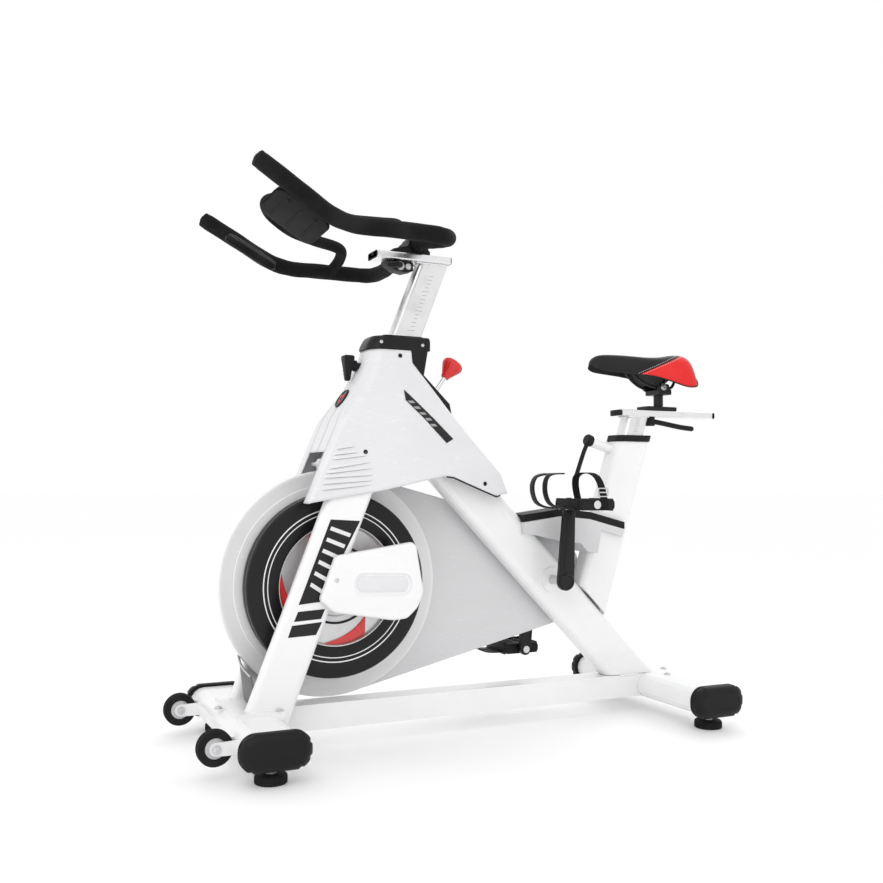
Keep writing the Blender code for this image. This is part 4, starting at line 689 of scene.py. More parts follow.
def build_end_caps():
    for place in ("front", "rear"):
        for hand, side in SIDES:
            name = f"end_cap_{place}_{hand}"
            low, high = room(name)
            middle_x, middle_z = (low.x + high.x) / 2, (low.z + high.z) / 2
            outline = rect_at(middle_x, middle_z, high.x - low.x, high.z - low.z, 0.0300, 9)
            inner, outer = sorted((low.y, high.y), key=abs)
            rings = []
            depth = abs(outer) - abs(inner)
            for share, inset, lugs in ((0.0, 0.0, 0), (0.14, 0.0, 0), (0.18, 0.0014, 0), (0.24, 0.0014, 0),
                                       (0.28, 0.0, 1), (0.62, 0.0, 1), (0.78, 0.0040, 1), (0.90, 0.0085, 0),
                                       (0.97, 0.0130, 0), (1.0, 0.0170, 0), (0.985, 0.0200, 0),
                                       (0.985, 0.0240, 0)):
                ring = []
                smaller = shrunk(outline, inset)
                lower = shrunk(outline, inset + 0.0026)
                for at, point in enumerate(smaller):
                    a, b = lower[at] if lugs and at % 5 == 2 else point
                    ring.append((a, side * (abs(inner) + depth * share), b))
                rings.append(ring)
            cap = Shape().skin(rings)
            cap.made(f"{name}_cap", "frame", "black_rubber", [BLACK], [name], sharp=50)


# ---- flywheel and drive ---------------------------------------------------------------------
def flywheel_point(radius, turn, side_y):
    return FLYWHEEL + ray(turn) * WHEEL_RADIUS * radius + LEFT * side_y


def build_flywheel():
    low, high = room("flywheel")
    half = (high.y - low.y) / 2
    side = [(0.182, 0.0140), (0.325, 0.0140), (0.345, 0.0088), (0.560, 0.0095), (0.632, 0.0100),
            (0.645, half - 0.0012),
            (0.655, half - 0.0002), (0.660, half), (0.762, half), (0.764, half - 0.0006),
            (0.786, half - 0.0006),
            (0.788, half), (0.970, half), (0.985, half - 0.0012), (0.996, half - 0.0036),
            (1.0, half - 0.0065),
            (1.0, 0.0034), (0.995, 0.0030), (0.995, 0.0), (0.995, -0.0030), (1.0, -0.0034)]
    mirrored_side = [(radius, -along) for radius, along in reversed(side[:-3])]
    profile = [(radius * WHEEL_RADIUS, along) for radius, along in side + mirrored_side[1:]]
    wheel = Shape().turned(profile, FLYWHEEL, LEFT, 160, wrap=True)
    wheel.made("flywheel_disc", "flywheel", "black_iron", [FLY], ["flywheel"], sharp=25)
    blades = Shape()
    blade_middle = 0.575
    for out in (1, -1):
        for quarter in range(4):
            outer, inner = [], []
            for step in range(17):
                share = step / 16
                outer.append((0.640 - 0.012 * share, 283 - 44 * share))
                inner.append((0.640 - 0.160 * share ** 0.80 - 0.006 * math.sin(math.pi * share),
                              283 - 55.4 * share))
            outline = outer + inner[::-1][:-1]
            rings = []
            for lift, shrink in ((0.0090, 0.0), (0.0122, 0.0), (0.0130, 0.010)):
                ring = []
                for radius, turn in outline:
                    ring.append(flywheel_point(radius + (blade_middle - radius) * shrink * 4,
                                               turn + 90 * quarter, out * lift))
                rings.append(ring)
            blades.skin(rings)
    blades.made("flywheel_blades", "flywheel", "red_plastic", [BLADE])
    ring = Shape()
    for out in (1, -1):
        ring.turned([(0.400 * WHEEL_RADIUS, out * 0.0085), (0.400 * WHEEL_RADIUS, out * 0.0104),
                     (0.425 * WHEEL_RADIUS, out * 0.0104), (0.425 * WHEEL_RADIUS, out * 0.0085)],
                    FLYWHEEL, LEFT, 96, wrap=True)
        for turn in range(6):
            spot = flywheel_point(0.26, 60 * turn + 30, out * 0.0138)
            ring.use(1).dome(spot, LEFT * out, 0.0042, 0.0030).use(0)
    ring.made("flywheel_rings", "flywheel", "black_iron", [IRON, BOLT])


def wrapped(first, first_radius, second, second_radius, steps=96):
    """Outline in X and Z drawn tight round two circles, the first one larger."""
    across = second - first
    base = math.atan2(across.z, across.x)
    spread = math.acos((first_radius - second_radius) / math.hypot(across.x, across.z))
    outline = []
    for step in range(steps + 1):
        turn = base + spread + (2 * math.pi - 2 * spread) * step / steps
        outline.append((first.x + first_radius * math.cos(turn), first.z + first_radius * math.sin(turn)))
    for step in range(steps // 2 + 1):
        turn = base - spread + 2 * spread * step / (steps // 2)
        outline.append((second.x + second_radius * math.cos(turn),
                        second.z + second_radius * math.sin(turn)))
    return outline


def build_belt_covers():
    low, high = room("belt_cover_inner")
    big, small = high.x - FLYWHEEL.x, CRANKS.x - low.x
    inner = Shape()
    # The case body takes the grey finish, which is painted shade on the rear band toward the cranks; the
    # guard disc over the flywheel stays white.
    inner.slab(wrapped(FLYWHEEL, big, CRANKS, small), "y", low.y, high.y - 0.0012, 0.0022)
    inner.use(1)
    inner.turned([(big * 0.30, 0.0), (big - 0.0006, 0.0), (big, 0.0016), (big, 0.0040),
                  (big - 0.0012, 0.0052),
                  (big - 0.0070, 0.0052), (big - 0.0090, 0.0042), (big - 0.0300, 0.0042),
                  (big - 0.0312, 0.0050),
                  (big * 0.30, 0.0050)], FLYWHEEL + LEFT * (low.y - FLYWHEEL.y + 0.0001), LEFT, 160,
                  wrap=True)
    inner.made("belt_case_inner", "frame", "white_plastic", [GREY_AND_SHADE, GUARD], ["belt_cover_inner"], sharp=30)
    low, high = room("belt_cover_outer")
    outer = Shape().slab(wrapped(FLYWHEEL, big, CRANKS, small), "y", high.y, low.y + 0.0030, 0.0050, 5)
    outer.slab(wrapped(FLYWHEEL, big - 0.020, CRANKS, small - 0.020), "y", low.y + 0.0032, low.y + 0.0010,
               0.0018)
    outer.use(1)
    for centre, reach in ((FLYWHEEL, big * 0.62), (CRANKS, small * 0.52)):
        outer.turned([(reach, 0.0), (reach, -0.0010), (reach - 0.0040, -0.0018), (reach - 0.0080, -0.0010),
                      (reach - 0.0080, 0.0)], centre + LEFT * (low.y + 0.0018 - centre.y), LEFT, 128,
                      wrap=True)
    outer.use(2)
    for turn in range(8):
        spot = FLYWHEEL + ray(45 * turn + 22) * (big - 0.010)
        outer.dome(Vector((spot.x, low.y + 0.0030, spot.z)), -LEFT, 0.0042, 0.0022)
    outer.made("belt_case_outer", "frame", "white_plastic", [GUARD, GREY_AND_SHADE, GLOSS_BLACK],
               ["belt_cover_outer"])


def build_cranks():
    for hand, side in SIDES:
        low, high = room(f"crank_{hand}")
        inner = min(abs(low.y), abs(high.y))
        outer, tip = inner + 0.014, max(abs(low.y), abs(high.y))
        eye = PEDALS[hand]
        arm = Shape()
        arm.slab(wrapped(CRANKS, 0.0198, eye, 0.0136, 40), "y", side * inner, side * outer, 0.0032, 4)
        near, far = CRANKS.lerp(eye, 0.17), CRANKS.lerp(eye, 0.88)
        arm.slab(wrapped(near, 0.0098, far, 0.0066, 20), "y", side * (outer - 0.002),
                 side * (outer + 0.0012), 0.0011)
        arm.turned([(0.0180, 0.0), (0.0180, 0.0016), (0.0165, 0.0030), (0.0125, 0.0030), (0.0120, 0.0018),
                    (0.0040, 0.0018)], Vector((CRANKS.x, side * outer, CRANKS.z)), LEFT * side, 48)
        start = Vector((eye.x, side * outer, eye.z))
        arm.use(1).turned([(0.0085, -0.001), (0.0085, 0.0030)], start, LEFT * side, 6)
        arm.turned([(0.0064, 0.0), (0.0064, 0.0060), (0.0056, 0.0080), (0.0056, tip - outer - 0.003),
                    (0.0045, tip - outer)], start, LEFT * side, 32)
        arm.turned([(0.0080, -0.0014), (0.0080, 0.0)], Vector((eye.x, side * inner, eye.z)),
                   LEFT * side, 32)
        arm.made(f"crank_{hand}_arm", "crankset", "black_iron", [IRON, BOLT], [f"crank_{hand}"], sharp=30)


def build_pedals():
    for hand, side in SIDES:
        body = f"pedal_{hand}"
        low, high = room(f"pedal_body_{hand}")
        centre = (low + high) / 2
        half = (high - low) / 2
        pedal = Shape()
        for front in (1, -1):
            edge_x = centre.x + front * half.x
            for top in (1, -1):
                outline = []
                for tooth in range(12):
                    share = tooth / 12
                    span = 2 * half.y - 0.008
                    place = centre.y - half.y + 0.004 + span * share
                    rise = centre.z + top * half.z
                    outline += [(place, rise - top * 0.0032), (place + span / 48, rise),
                                (place + span / 24, rise), (place + span / 16, rise - top * 0.0032)]
                outline += [(centre.y + half.y - 0.004, centre.z), (centre.y - half.y + 0.004, centre.z)]
                pedal.slab(outline, "x", edge_x, edge_x - front * 0.0050)
        for out in (1, -1):
            face = centre.y + out * half.y
            outline = rect_at(centre.x, centre.z, 2 * half.x, 2 * half.z - 0.002, 0.0085, 5)
            pedal.slab(outline, "y", face, face - out * 0.0085, 0.0022)
        span = half.y - 0.007
        for row in (-0.022, 0.022):
            outline = rect_at(centre.x + row, centre.z, 0.0045, 0.0200, 0.0012, 2)
            pedal.slab(outline, "y", centre.y - span, centre.y + span)
        for spot in (-0.026, 0.0, 0.026):
            outline = rect_at(centre.y + spot, centre.z, 0.0055, 0.0170, 0.0012, 2)
            pedal.slab(outline, "x", centre.x - half.x + 0.004, centre.x + half.x - 0.004)
        pedal.turned([(0.0118, -span), (0.0118, -span + 0.010), (0.0104, -span + 0.016),
                      (0.0104, span - 0.016),
                      (0.0118, span - 0.010), (0.0118, span)], centre, LEFT, 40)
        outer = centre + LEFT * side * half.y
        pedal.use(1).turned([(0.0088, -0.001), (0.0088, 0.0001), (0.0070, 0.0004)], outer, LEFT * side, 32)
        pedal.use(2)
        for out in (1, -1):
            outline = rect_at(centre.x + out * 0.0270, centre.z, 0.0190, 0.0120, 0.0020, 3)
            pedal.slab(outline, "y", outer.y - side * 0.001, outer.y + side * 0.0003)
        pedal.made(f"pedal_{hand}_body", body, "black_plastic", [BLACK, GREY_AND_SHADE, GLOSS_BLACK],
                   [f"pedal_body_{hand}"], sharp=30)
        build_cage(hand, side, centre, half, body)


def build_cage(hand, side, centre, half, body):
    """Toe cage bent from plate with a window, its strap, buckle and rivets."""
    edge = centre.x + half.x
    low, high = room(f"toe_cage_{hand}")
    line = curved([(edge + 0.0008, 0, -0.0080), (edge + 0.018, 0, -0.0080), (edge + 0.042, 0, -0.0050),
                   (edge + 0.060, 0, 0.0040), (edge + 0.0690, 0, 0.0220), (edge + 0.0702, 0, 0.0420),
                   (edge + 0.0635, 0, 0.0575), (edge + 0.0480, 0, 0.0640), (edge + 0.0225, 0, 0.0652)], 6)
    cage = Shape()
    length = len(line)
    for strand in (-1, 1):
        rings = []
        for at, point in enumerate(line):
            share = at / (length - 1)
            way = (line[min(at + 1, length - 1)] - line[max(at - 1, 0)]).normalized()
            normal = Vector((-way.z, 0, way.x))
            wide = (high.y - low.y) / 2 * (1.0 - 0.22 * max(0.0, share - 0.62) / 0.38)
            gap = wide * 0.52 * min(1.0, max(0.0, (share - 0.14) / 0.10), max(0.0, (0.86 - share) / 0.10))
            inner, outer = strand * gap, strand * wide
            ring = []
            for across, lift in ((inner, 0.0016), (outer - strand * 0.0016, 0.0016), (outer, 0.0006),
                                 (outer, -0.0006), (outer - strand * 0.0016, -0.0016), (inner, -0.0016)):
                ring.append((point.x + normal.x * lift, (low.y + high.y) / 2 + across,
                             centre.z + point.z + normal.z * lift))
            rings.append(ring)
        cage.skin(rings)
    for spot in (-0.014, 0.014):
        cage.use(1).dome(Vector((edge + 0.0105, centre.y + spot, centre.z - 0.0094)), -UP, 0.0032, 0.0014)
    cage.made(f"toe_cage_{hand}_plate", body, "black_plastic", [BLACK, BOLT], [f"toe_cage_{hand}"],
              sharp=40)

    low, high = room(f"toe_strap_{hand}")
    reach = (high.y - low.y) / 2 - 0.0012
    hoop = curved([(reach, 0, -0.0105), (reach, 0, 0.010), (reach - 0.0004, 0, 0.036),
                   (reach - 0.0085, 0, 0.056),
                   (reach - 0.0250, 0, 0.0650), (0.0, 0, 0.0672), (-reach + 0.0250, 0, 0.0650),
                   (-reach + 0.0085, 0, 0.056), (-reach + 0.0004, 0, 0.036), (-reach, 0, 0.010),
                   (-reach, 0, -0.0105)], 6)
    middle_y = (low.y + high.y) / 2
    rings = []
    for at, point in enumerate(hoop):
        way = (hoop[min(at + 1, len(hoop) - 1)] - hoop[max(at - 1, 0)]).normalized()
        normal = Vector((-way.z, 0, way.x))
        drift = centre.x - 0.0180 + 0.016 * max(0.0, point.z) / 0.068
        ring = []
        for across, lift in ((-0.0090, 0.0), (-0.0082, 0.0010), (-0.0060, 0.0007), (0.0, 0.0009),
                             (0.0060, 0.0007),
                             (0.0082, 0.0010), (0.0090, 0.0), (0.0082, -0.0010), (0.0, -0.0010),
                             (-0.0082, -0.0010)):
            ring.append((drift + across, middle_y + point.x + normal.x * lift,
                         centre.z + point.z + normal.z * lift))
        rings.append(ring)
    strap = Shape().skin(rings)
    strap.made(f"toe_strap_{hand}_band", body, "webbing", [STRAP], [f"toe_strap_{hand}"], sharp=60)
    buckle = Shape()
    where = Vector((centre.x - 0.0120, middle_y + side * (reach + 0.0002), centre.z + 0.0260))
    frame_path = [where + Vector((a, side * 0.0016, b)) for a, b in round_rect(0.0240, 0.0170, 0.0030, 3)]
    buckle.tube(frame_path + frame_path[:1], 0.0013, 10)
    buckle.tube([where + Vector((-0.0105, side * 0.0022, 0.0)),
                 where + Vector((0.0105, side * 0.0022, 0.0))], 0.0016, 12)
    buckle.made(f"toe_strap_{hand}_buckle", body, "bright_steel", [BOLT])


# ---- frame ----------------------------------------------------------------------------------
def bead(shape, path, radius=0.0026):
    """Weld bead: overlapping ripples along a path."""
    path = [Vector(point) for point in path]
    fine = []
    for a, b in zip(path, path[1:]):
        count = max(2, int((b - a).length / 0.0016))
        fine += [a.lerp(b, step / count) for step in range(count)]
    fine.append(path[-1])
    shape.tube(fine, [radius * (1.0 + 0.16 * math.sin(at * 2.1)) for at in range(len(fine))], 8)


def decal(shape, corners, side_y, out):
    shape.slab(corners, "y", side_y, side_y + out * 0.0005)


DRESSED = (
    (WHITE, "fork_leg_left fork_leg_right head_tube main_beam seat_tube front_stabiliser rear_stabiliser "
            "bottom_rail bottom_bracket"),
    (BLACK, "seat_collar caddy_rim bar_mount carriage_lever crank_pulley seat_pin"),
    (GREY_AND_SHADE, "caddy_tray brake_arm"), (RAIL_POST, "bar_post seat_post"), (RAIL, "bar_rail seat_rail"),
    (BOLT, "flywheel_axle flywheel_hub crank_axle"), (IRON, "saddle_carriage"), (FELT, "brake_pad"),
    (STEEL, "brake_rod"), (RUBBER, "drive_belt"))
ROUNDED = ((0.0035, "fork_leg_left fork_leg_right bar_post seat_post"), (0.0045, "seat_tube"),
           (0.0012, "bar_rail seat_rail brake_arm"), (0.0020, "caddy_tray caddy_rim"),
           (0.0016, "bar_mount"))
LEG_INNER, LEG_OUTER = 0.0503, 0.0797


def dress_solids():
    """Finish and round the solids that no finer piece replaces."""
    for finish, nodes in DRESSED:
        for node in nodes.split():
            dress(node, finish)
    for width, nodes in ROUNDED:
        for node in nodes.split():
            joined = frame["nodes"][node].modifiers.new("joined corners", "WELD")
            joined.merge_threshold = 0.00002
            rounded_edges(frame["nodes"][node], width)


def build_leg_decals():
    for hand, side in SIDES:
        face = side * LEG_OUTER
        black = Shape()
        decal(black, [(0.3073, 0.4574), (0.2461, 0.4536), (0.3278, 0.2974), (0.3708, 0.2937)], face, side)
        decal(black, [(0.3719, 0.2803), (0.3175, 0.2833), (0.3254, 0.2644), (0.3797, 0.2616)], face, side)
        decal(black, [(0.3836, 0.2542), (0.3233, 0.2585), (0.3353, 0.2341), (0.3913, 0.2318)], face, side)
        black.use(1)
        top, foot = Vector((0.2767, 0, 0.4555)), Vector((0.3493, 0, 0.2956))
        for slash in range(6):
            here = top.lerp(foot, 0.12 + slash * 0.135)
            reach = Vector((0.0205, 0, 0.0)) * (1.0 - 0.09 * slash)
            drop, slant = Vector((0.0032, 0, -0.0070)), Vector((0, 0, 0.0075))
            spots = [here - reach - slant, here + reach + slant, here + reach + slant + drop,
                     here - reach - slant + drop]
            decal(black, [(spot.x, spot.z) for spot in spots], face + side * 0.0003, side)
        black.made(f"leg_decal_{hand}", "frame", "black_plastic", [INK_BLACK, INK_WHITE], sharp=20)


def build_axle_cover():
    low, high = room("axle_cover")
    outline = [(0.3014, 0.3870), (0.3332, 0.3019), (0.3045, 0.2769), (0.1800, 0.2555), (0.1500, 0.2580),
               (0.1270, 0.2790), (0.1142, 0.3092), (0.1310, 0.4030), (0.1400, 0.4105)]
    cut_corners = []
    for at, here in enumerate(outline):
        here = Vector(here)
        before, after = Vector(outline[at - 1]), Vector(outline[(at + 1) % len(outline)])
        size = min(0.0075, (before - here).length * 0.35, (after - here).length * 0.35)
        start, end = here + (before - here).normalized() * size, here + (after - here).normalized() * size
        for step in range(5):
            t = step / 4
            cut_corners.append(tuple(start * (1 - t) ** 2 + here * 2 * t * (1 - t) + end * t * t))
    cover = Shape().slab(cut_corners, "y", low.y, high.y, 0.0065, 5)
    piece = cover.made("axle_cover_shell", "frame", "white_plastic", [GUARD], ["axle_cover"], sharp=30)
    oval = []
    centre, tilt = Vector((0.2030, 0.3285)), math.radians(2.3)
    for a, b in round_rect(0.1220, 0.0430, 0.0200, 12):
        oval.append((centre.x + a * math.cos(tilt) - b * math.sin(tilt),
                     centre.y + a * math.sin(tilt) + b * math.cos(tilt)))
    cutter = Shape().slab(oval, "y", high.y + 0.004, high.y - 0.0035).made("hollow", "frame",
                                                            "white_plastic", [GUARD])
    carve(piece, cutter)
    trim = Shape()
    rim = [Vector((a, high.y - 0.0001, b)) for a, b in shrunk(oval, -0.0016)]
    trim.tube(rim + rim[:1], 0.0009, 8)
    trim.use(1).slab(shrunk(oval, 0.0060), "y", high.y - 0.0040, high.y - 0.0022, 0.0010)
    trim.use(2).dome(Vector((0.3007, high.y - 0.0002, 0.3399)), LEFT, 0.0046, 0.0020)
    trim.made("axle_cover_trim", "frame", "white_plastic", [GUARD, SHELL, BOLT], sharp=30)


def carve(piece, cutter):
    """Take the cutter's shape out of a piece and remove the cutter."""
    cutting = piece.modifiers.new("hollow", "BOOLEAN")
    cutting.operation = "DIFFERENCE"
    cutting.solver = "EXACT"
    cutting.object = cutter
    bpy.context.view_layer.update()
    result = bpy.data.meshes.new_from_object(piece.evaluated_get(bpy.context.evaluated_depsgraph_get()))
    piece.modifiers.clear()
    piece.data = result
    result.polygons.foreach_set("use_smooth", [True] * len(result.polygons))
    result.set_sharp_from_angle(angle=math.radians(30))
    bpy.data.objects.remove(cutter)


def build_frame_details():
    """Weld beads, the gusset, visible fasteners and the splash guard between the legs."""
    welds = Shape()
    for _, side in SIDES:
        for inner in (LEG_INNER, LEG_OUTER):
            bead(welds, [(0.4060, side * inner, 0.0965), (0.4500, side * inner, 0.0965),
                         (0.4730, side * inner, 0.0930)],
                 0.0022)
    bead(welds, [(-0.4990, 0.0260, 0.0905), (-0.4990, -0.0260, 0.0905)], 0.0024)
    bead(welds, [(-0.4120, 0.0278, 0.0888), (-0.4620, 0.0278, 0.0888)], 0.0022)
    welds.made("frame_welds", "frame", "white_enamel", [WHITE], sharp=60)

    plates = Shape()
    gusset = [(-0.3598, 0.1577), (-0.4320, 0.1229), (-0.4945, 0.0997), (-0.4973, 0.0900), (-0.4122, 0.0900),
              (-0.3720, 0.1380)]
    plates.slab(gusset, "y", -0.0030, 0.0030, 0.0008)
    plates.use(1)
    for x, y, z in ((-0.5560, 0.0, 0.0885), (0.5050, 0.0, 0.0920)):
        plates.bolt(Vector((x, y, z)), UP, 0.0070, 0.0045)
    for _, side in SIDES:
        plates.bolt(Vector((0.4080, side * 0.0830, 0.0955)), UP, 0.0062, 0.0040)
        plates.bolt(Vector((-0.5180, side * 0.0640, 0.0895)), UP, 0.0062, 0.0040)
    plates.made("frame_gusset", "frame", "white_enamel", [WHITE, BOLT], sharp=30)

    # The splash guard's dark grey is painted shade, standing in for the shade between the legs under the
    # flywheel.
    guard = Shape()
    rings = []
    for step in range(13):
        y = -0.0490 + 0.0980 * step / 12
        top = 0.1830 - 0.26 * (y + 0.0490)
        bow = 0.0050 * math.cos(math.pi * y / 0.098)
        rings.append([(0.4400 + bow, y, 0.0970), (0.4432 + bow, y, 0.0970), (0.4560 + bow, y, top),
                      (0.4530 + bow, y, top)])
    guard.skin(rings)
    lip = [(ring[2][0] + 0.0010, ring[2][1], ring[2][2] + 0.0008) for ring in rings]
    guard.use(1).tube(lip, 0.0018, 12, dome=0.001)
    guard.made("splash_guard", "frame", "grey_plastic", [GUARD_SHADE, BOLT])


# ---- head -----------------------------------------------------------------------------------
SHROUD = ((0.460, .3660, .170, -.135, .0840, .050, .006), (0.5065, .3470, .165, -.100, .0840, .050, .006),
          (0.5503, .3290, .160, -.082, .0840, .050, .006), (0.6400, .2922, .150, .0040, .0840, .050, .008),
          (0.6600, .2845, .150, .0212, .0830, .050, .016), (0.6830, .2700, .150, .0429, .0740, .050, .026),
          (0.7200, .2460, .150, .0745, .0620, .050, .034), (0.7796, .2175, .160, .1256, .0500, .048, .034),
          (0.8050, .2110, .165, .1270, .0460, .046, .032))
HEM = ((-0.135, .5120), (-0.088, .5045), (-0.076, .501), (0.033, .5415), (0.056, .544), (0.205, .513),
       (0.357, .4885), (0.380, .4850))


def shroud_column(part, z):
    """Half-section of the shroud at a height: part runs 0 to 5 from the front to the back."""
    front, middle, rear, wide, narrow, corner = (between(SHROUD, z, column) for column in range(1, 7))
    if part <= 1:
        start = 0.050
        return front, start + (max(start, wide - corner) - start) * part if wide - corner > start else \
            (wide - corner) * 0.96 + (wide - corner) * 0.04 * part
    if part <= 2:
        turn = math.pi / 2 * (part - 1)
        return front - corner + corner * math.cos(turn), wide - corner + corner * math.sin(turn)
    if part <= 3:
        return front - corner + (middle - front + corner) * (part - 2), wide
    if part <= 4:
        share = part - 3
        ease = share * share * (3 - 2 * share) * 0.35 + share * 0.65
        return middle + (rear - middle) * share, wide + (narrow - wide) * ease
    share = part - 4
    turn = math.pi / 2 * min(1.0, share * 2)
    bend = 0.008
    if share <= 0.5:
        return rear - bend * math.sin(turn), narrow - bend * (1 - math.cos(turn))
    return rear - bend, narrow - bend + (0.028 - narrow + bend) * (share - 0.5) * 2


def side_of_shroud(x, z):
    """Distance of the shroud's outer face from the middle plane."""
    middle, rear, wide, narrow = (between(SHROUD, z, column) for column in range(2, 6))
    if x >= middle:
        return wide
    share = (middle - x) / (middle - rear)
    ease = share * share * (3 - 2 * share) * 0.35 + share * 0.65
    return wide + (narrow - wide) * ease


def patch(shape, corners, side, lift, rows=8, columns=30):
    """Film laid on the shroud between four corners in X and Z."""
    a, b, c, d = (Vector(corner) for corner in corners)
    grid = []
    for row in range(rows + 1):
        line = []
        for column in range(columns + 1):
            spot = a.lerp(b, column / columns).lerp(d.lerp(c, column / columns), row / rows)
            line.append((spot.x, side * (side_of_shroud(spot.x, spot.y) + lift), spot.y))
        grid.append(line)
    shape.skin(grid, sheet=True)


SHROUD_TOP, NOSE_FOOT, SPINE_FOOT, SPINE_TOP = 0.8050, 0.592, 0.5075, 0.755
KNOB_GROWTH = 1.08


def build_shroud_shell(hand, side):
    """Half of the shroud: its outer skin, then the strips that close its front and back edges."""
    stops = [0.0, 0.5] + [1 + step / 8 for step in range(9)] + [2 + step / 22 for step in range(1, 23)]
    stops += [3 + step / 22 for step in range(1, 23)] + [4 + step / 12 for step in range(1, 13)]
    shell = Shape()
    columns = []
    for stop in stops:
        foot = 0.5
        for _ in range(8):
            foot = between([(x, x, z) for x, z in HEM], shroud_column(stop, foot)[0], 2)
        columns.append((stop, foot))
    rows = []
    for level in range(49):
        row = []
        for stop, foot in columns:
            z = foot + (SHROUD_TOP - foot) * level / 48
            x, y = shroud_column(stop, z)
            row.append((x, side * y, z))
        rows.append(row if side > 0 else row[::-1])
    shell.skin(rows, sheet=True)
    rows = []
    for level in range(33):
        z = NOSE_FOOT + (SHROUD_TOP - NOSE_FOOT) * level / 32
        x, reach = shroud_column(0.0, z)
        row = [(x, side * (0.0004 + (reach - 0.0004) * step / 4), z) for step in range(5)]
        rows.append(row if side > 0 else row[::-1])
    shell.skin(rows, sheet=True)
    rows = []
    for level in range(25):
        z = SPINE_FOOT + (SPINE_TOP - SPINE_FOOT) * level / 24
        x = between(SHROUD, z, 3) - 0.008
        row = [(x, side * y, z) for y in (0.028, 0.014, 0.0004)]
        rows.append(row if side > 0 else row[::-1])
    shell.skin(rows, sheet=True)
    shell.made(f"shroud_{hand}_shell", "frame", "grey_plastic", [SHELL], [f"shroud_{hand}"],
               thickness=0.003,
               sharp=40, recalc=False)


def build_louvres(hand, side):
    """Raised louvres with a painted shadow line under each, the gasket along the hem, and three screws."""
    trim = Shape()
    louvres = (((0.2976, .5985), (0.2594, .6050)), ((0.3027, .5872), (0.2541, .5930)),
               ((0.3076, .5777), (0.2335, .5869)), ((0.3134, .5594), (0.2255, .5739)),
               ((0.3199, .5502), (0.2228, .5617)), ((0.3233, .5416), (0.2210, .5482)),
               ((0.3272, .5296), (0.2227, .5374)), ((0.3296, .5177), (0.2252, .5286)))
    for start, end in louvres:
        rings = []
        for share, size in ((0.0, 0.15), (0.03, 0.8), (0.10, 1.0), (0.60, 1.0), (0.85, 0.7), (1.0, 0.1)):
            x = start[0] + (end[0] - start[0]) * share
            z = start[1] + (end[1] - start[1]) * share
            face = side_of_shroud(x, z)
            rings.append([(x, side * (face - 0.001), z + 0.0040), (x, side * (face + 0.0006), z + 0.0036),
                          (x, side * (face + 0.0030 * size), z - 0.0022),
                          (x, side * (face + 0.0026 * size), z - 0.0034),
                          (x, side * (face - 0.001), z - 0.0036)])
        trim.use(0).skin(rings)
        # A thin grey strip under each louvre: painted shadow.
        louvre_shadow = []
        for share, size in ((0.02, 0.3), (0.12, 1.0), (0.85, 0.8), (1.0, 0.2)):
            x = start[0] + (end[0] - start[0]) * share
            z = start[1] + (end[1] - start[1]) * share - 0.0036
            face = side_of_shroud(x, z)
            louvre_shadow.append([(x, side * (face - 0.001), z), (x, side * (face + 0.0004), z),
                         (x, side * (face + 0.0004), z - 0.0010 * size),
                         (x, side * (face - 0.001), z - 0.0010 * size)])
        trim.use(2).skin(louvre_shadow)
    gasket = [(x, side * (side_of_shroud(x, z) - 0.0016), z - 0.0004)
              for x, z in ((0.050, 0.5433), (0.033, 0.5415), (0.0, 0.5292), (-0.040, 0.5144),
                           (-0.076, 0.501),
                           (-0.086, 0.5040))]
    trim.use(1).tube(gasket, 0.0020, 10)
    for x, z in ((0.1482, 0.7929), (0.2369, 0.5911), (-0.0469, 0.5283)):
        trim.dome(Vector((x, side * (side_of_shroud(x, z) - 0.0004), z)), LEFT * side, 0.0046, 0.0024)
    trim.made(f"shroud_{hand}_louvres", "frame", "grey_plastic", [SHELL, GLOSS_BLACK, GREY_INK_AND_SHADOW], sharp=30)


def build_shroud_band(hand, side):
    """Dark printed band with five plain slashes."""
    band = Shape()
    a, b, c, d = ((0.1451, .7212), (0.0307, .6223), (0.0483, .6131), (0.1441, .6994))
    patch(band, (a, b, c, d), side, 0.0007)
    band.use(1)
    along, down = Vector(b) - Vector(a), Vector(c) - Vector(b)
    for slash in range(5):
        start = 0.20 + slash * 0.115
        first = Vector(a) + along * start + down * (0.22 + 0.26 * start)
        corner = [first, first + along * 0.050, first + along * 0.010 + down * 0.50,
                  first - along * 0.040 + down * 0.50]
        patch(band, corner, side, 0.0012, 3, 3)
    band.made(f"shroud_{hand}_band", "frame", "black_plastic", [INK_BLACK, GREY_INK_AND_SHADOW], thickness=0.0004,
              recalc=False)


def build_badge():
    """Round badge with three plain dots."""
    badge = Shape()
    spot, way = Vector((between(SHROUD, 0.7026, 1), 0.0, 0.7026)), Vector((0.838, 0.0, 0.545))
    badge.turned([(0.0225, -0.0020), (0.0225, 0.0016), (0.0208, 0.0034), (0.0188, 0.0034), (0.0180, 0.0022),
                  (0.0020, 0.0024)], spot, way, 64)
    for turn in range(3):
        angle = math.radians(120 * turn + 30)
        side = LEFT * math.cos(angle) + way.cross(LEFT) * math.sin(angle)
        badge.use(1).turned([(0.0046, 0.0020), (0.0046, 0.0030), (0.0036, 0.0034)], spot + side * 0.0085,
                            way, 24)
    badge.made("shroud_badge", "frame", "black_plastic", [GLOSS_BLACK, RED])


def build_shroud():
    for hand, side in SIDES:
        build_shroud_shell(hand, side)
        build_louvres(hand, side)
        build_shroud_band(hand, side)
    build_badge()


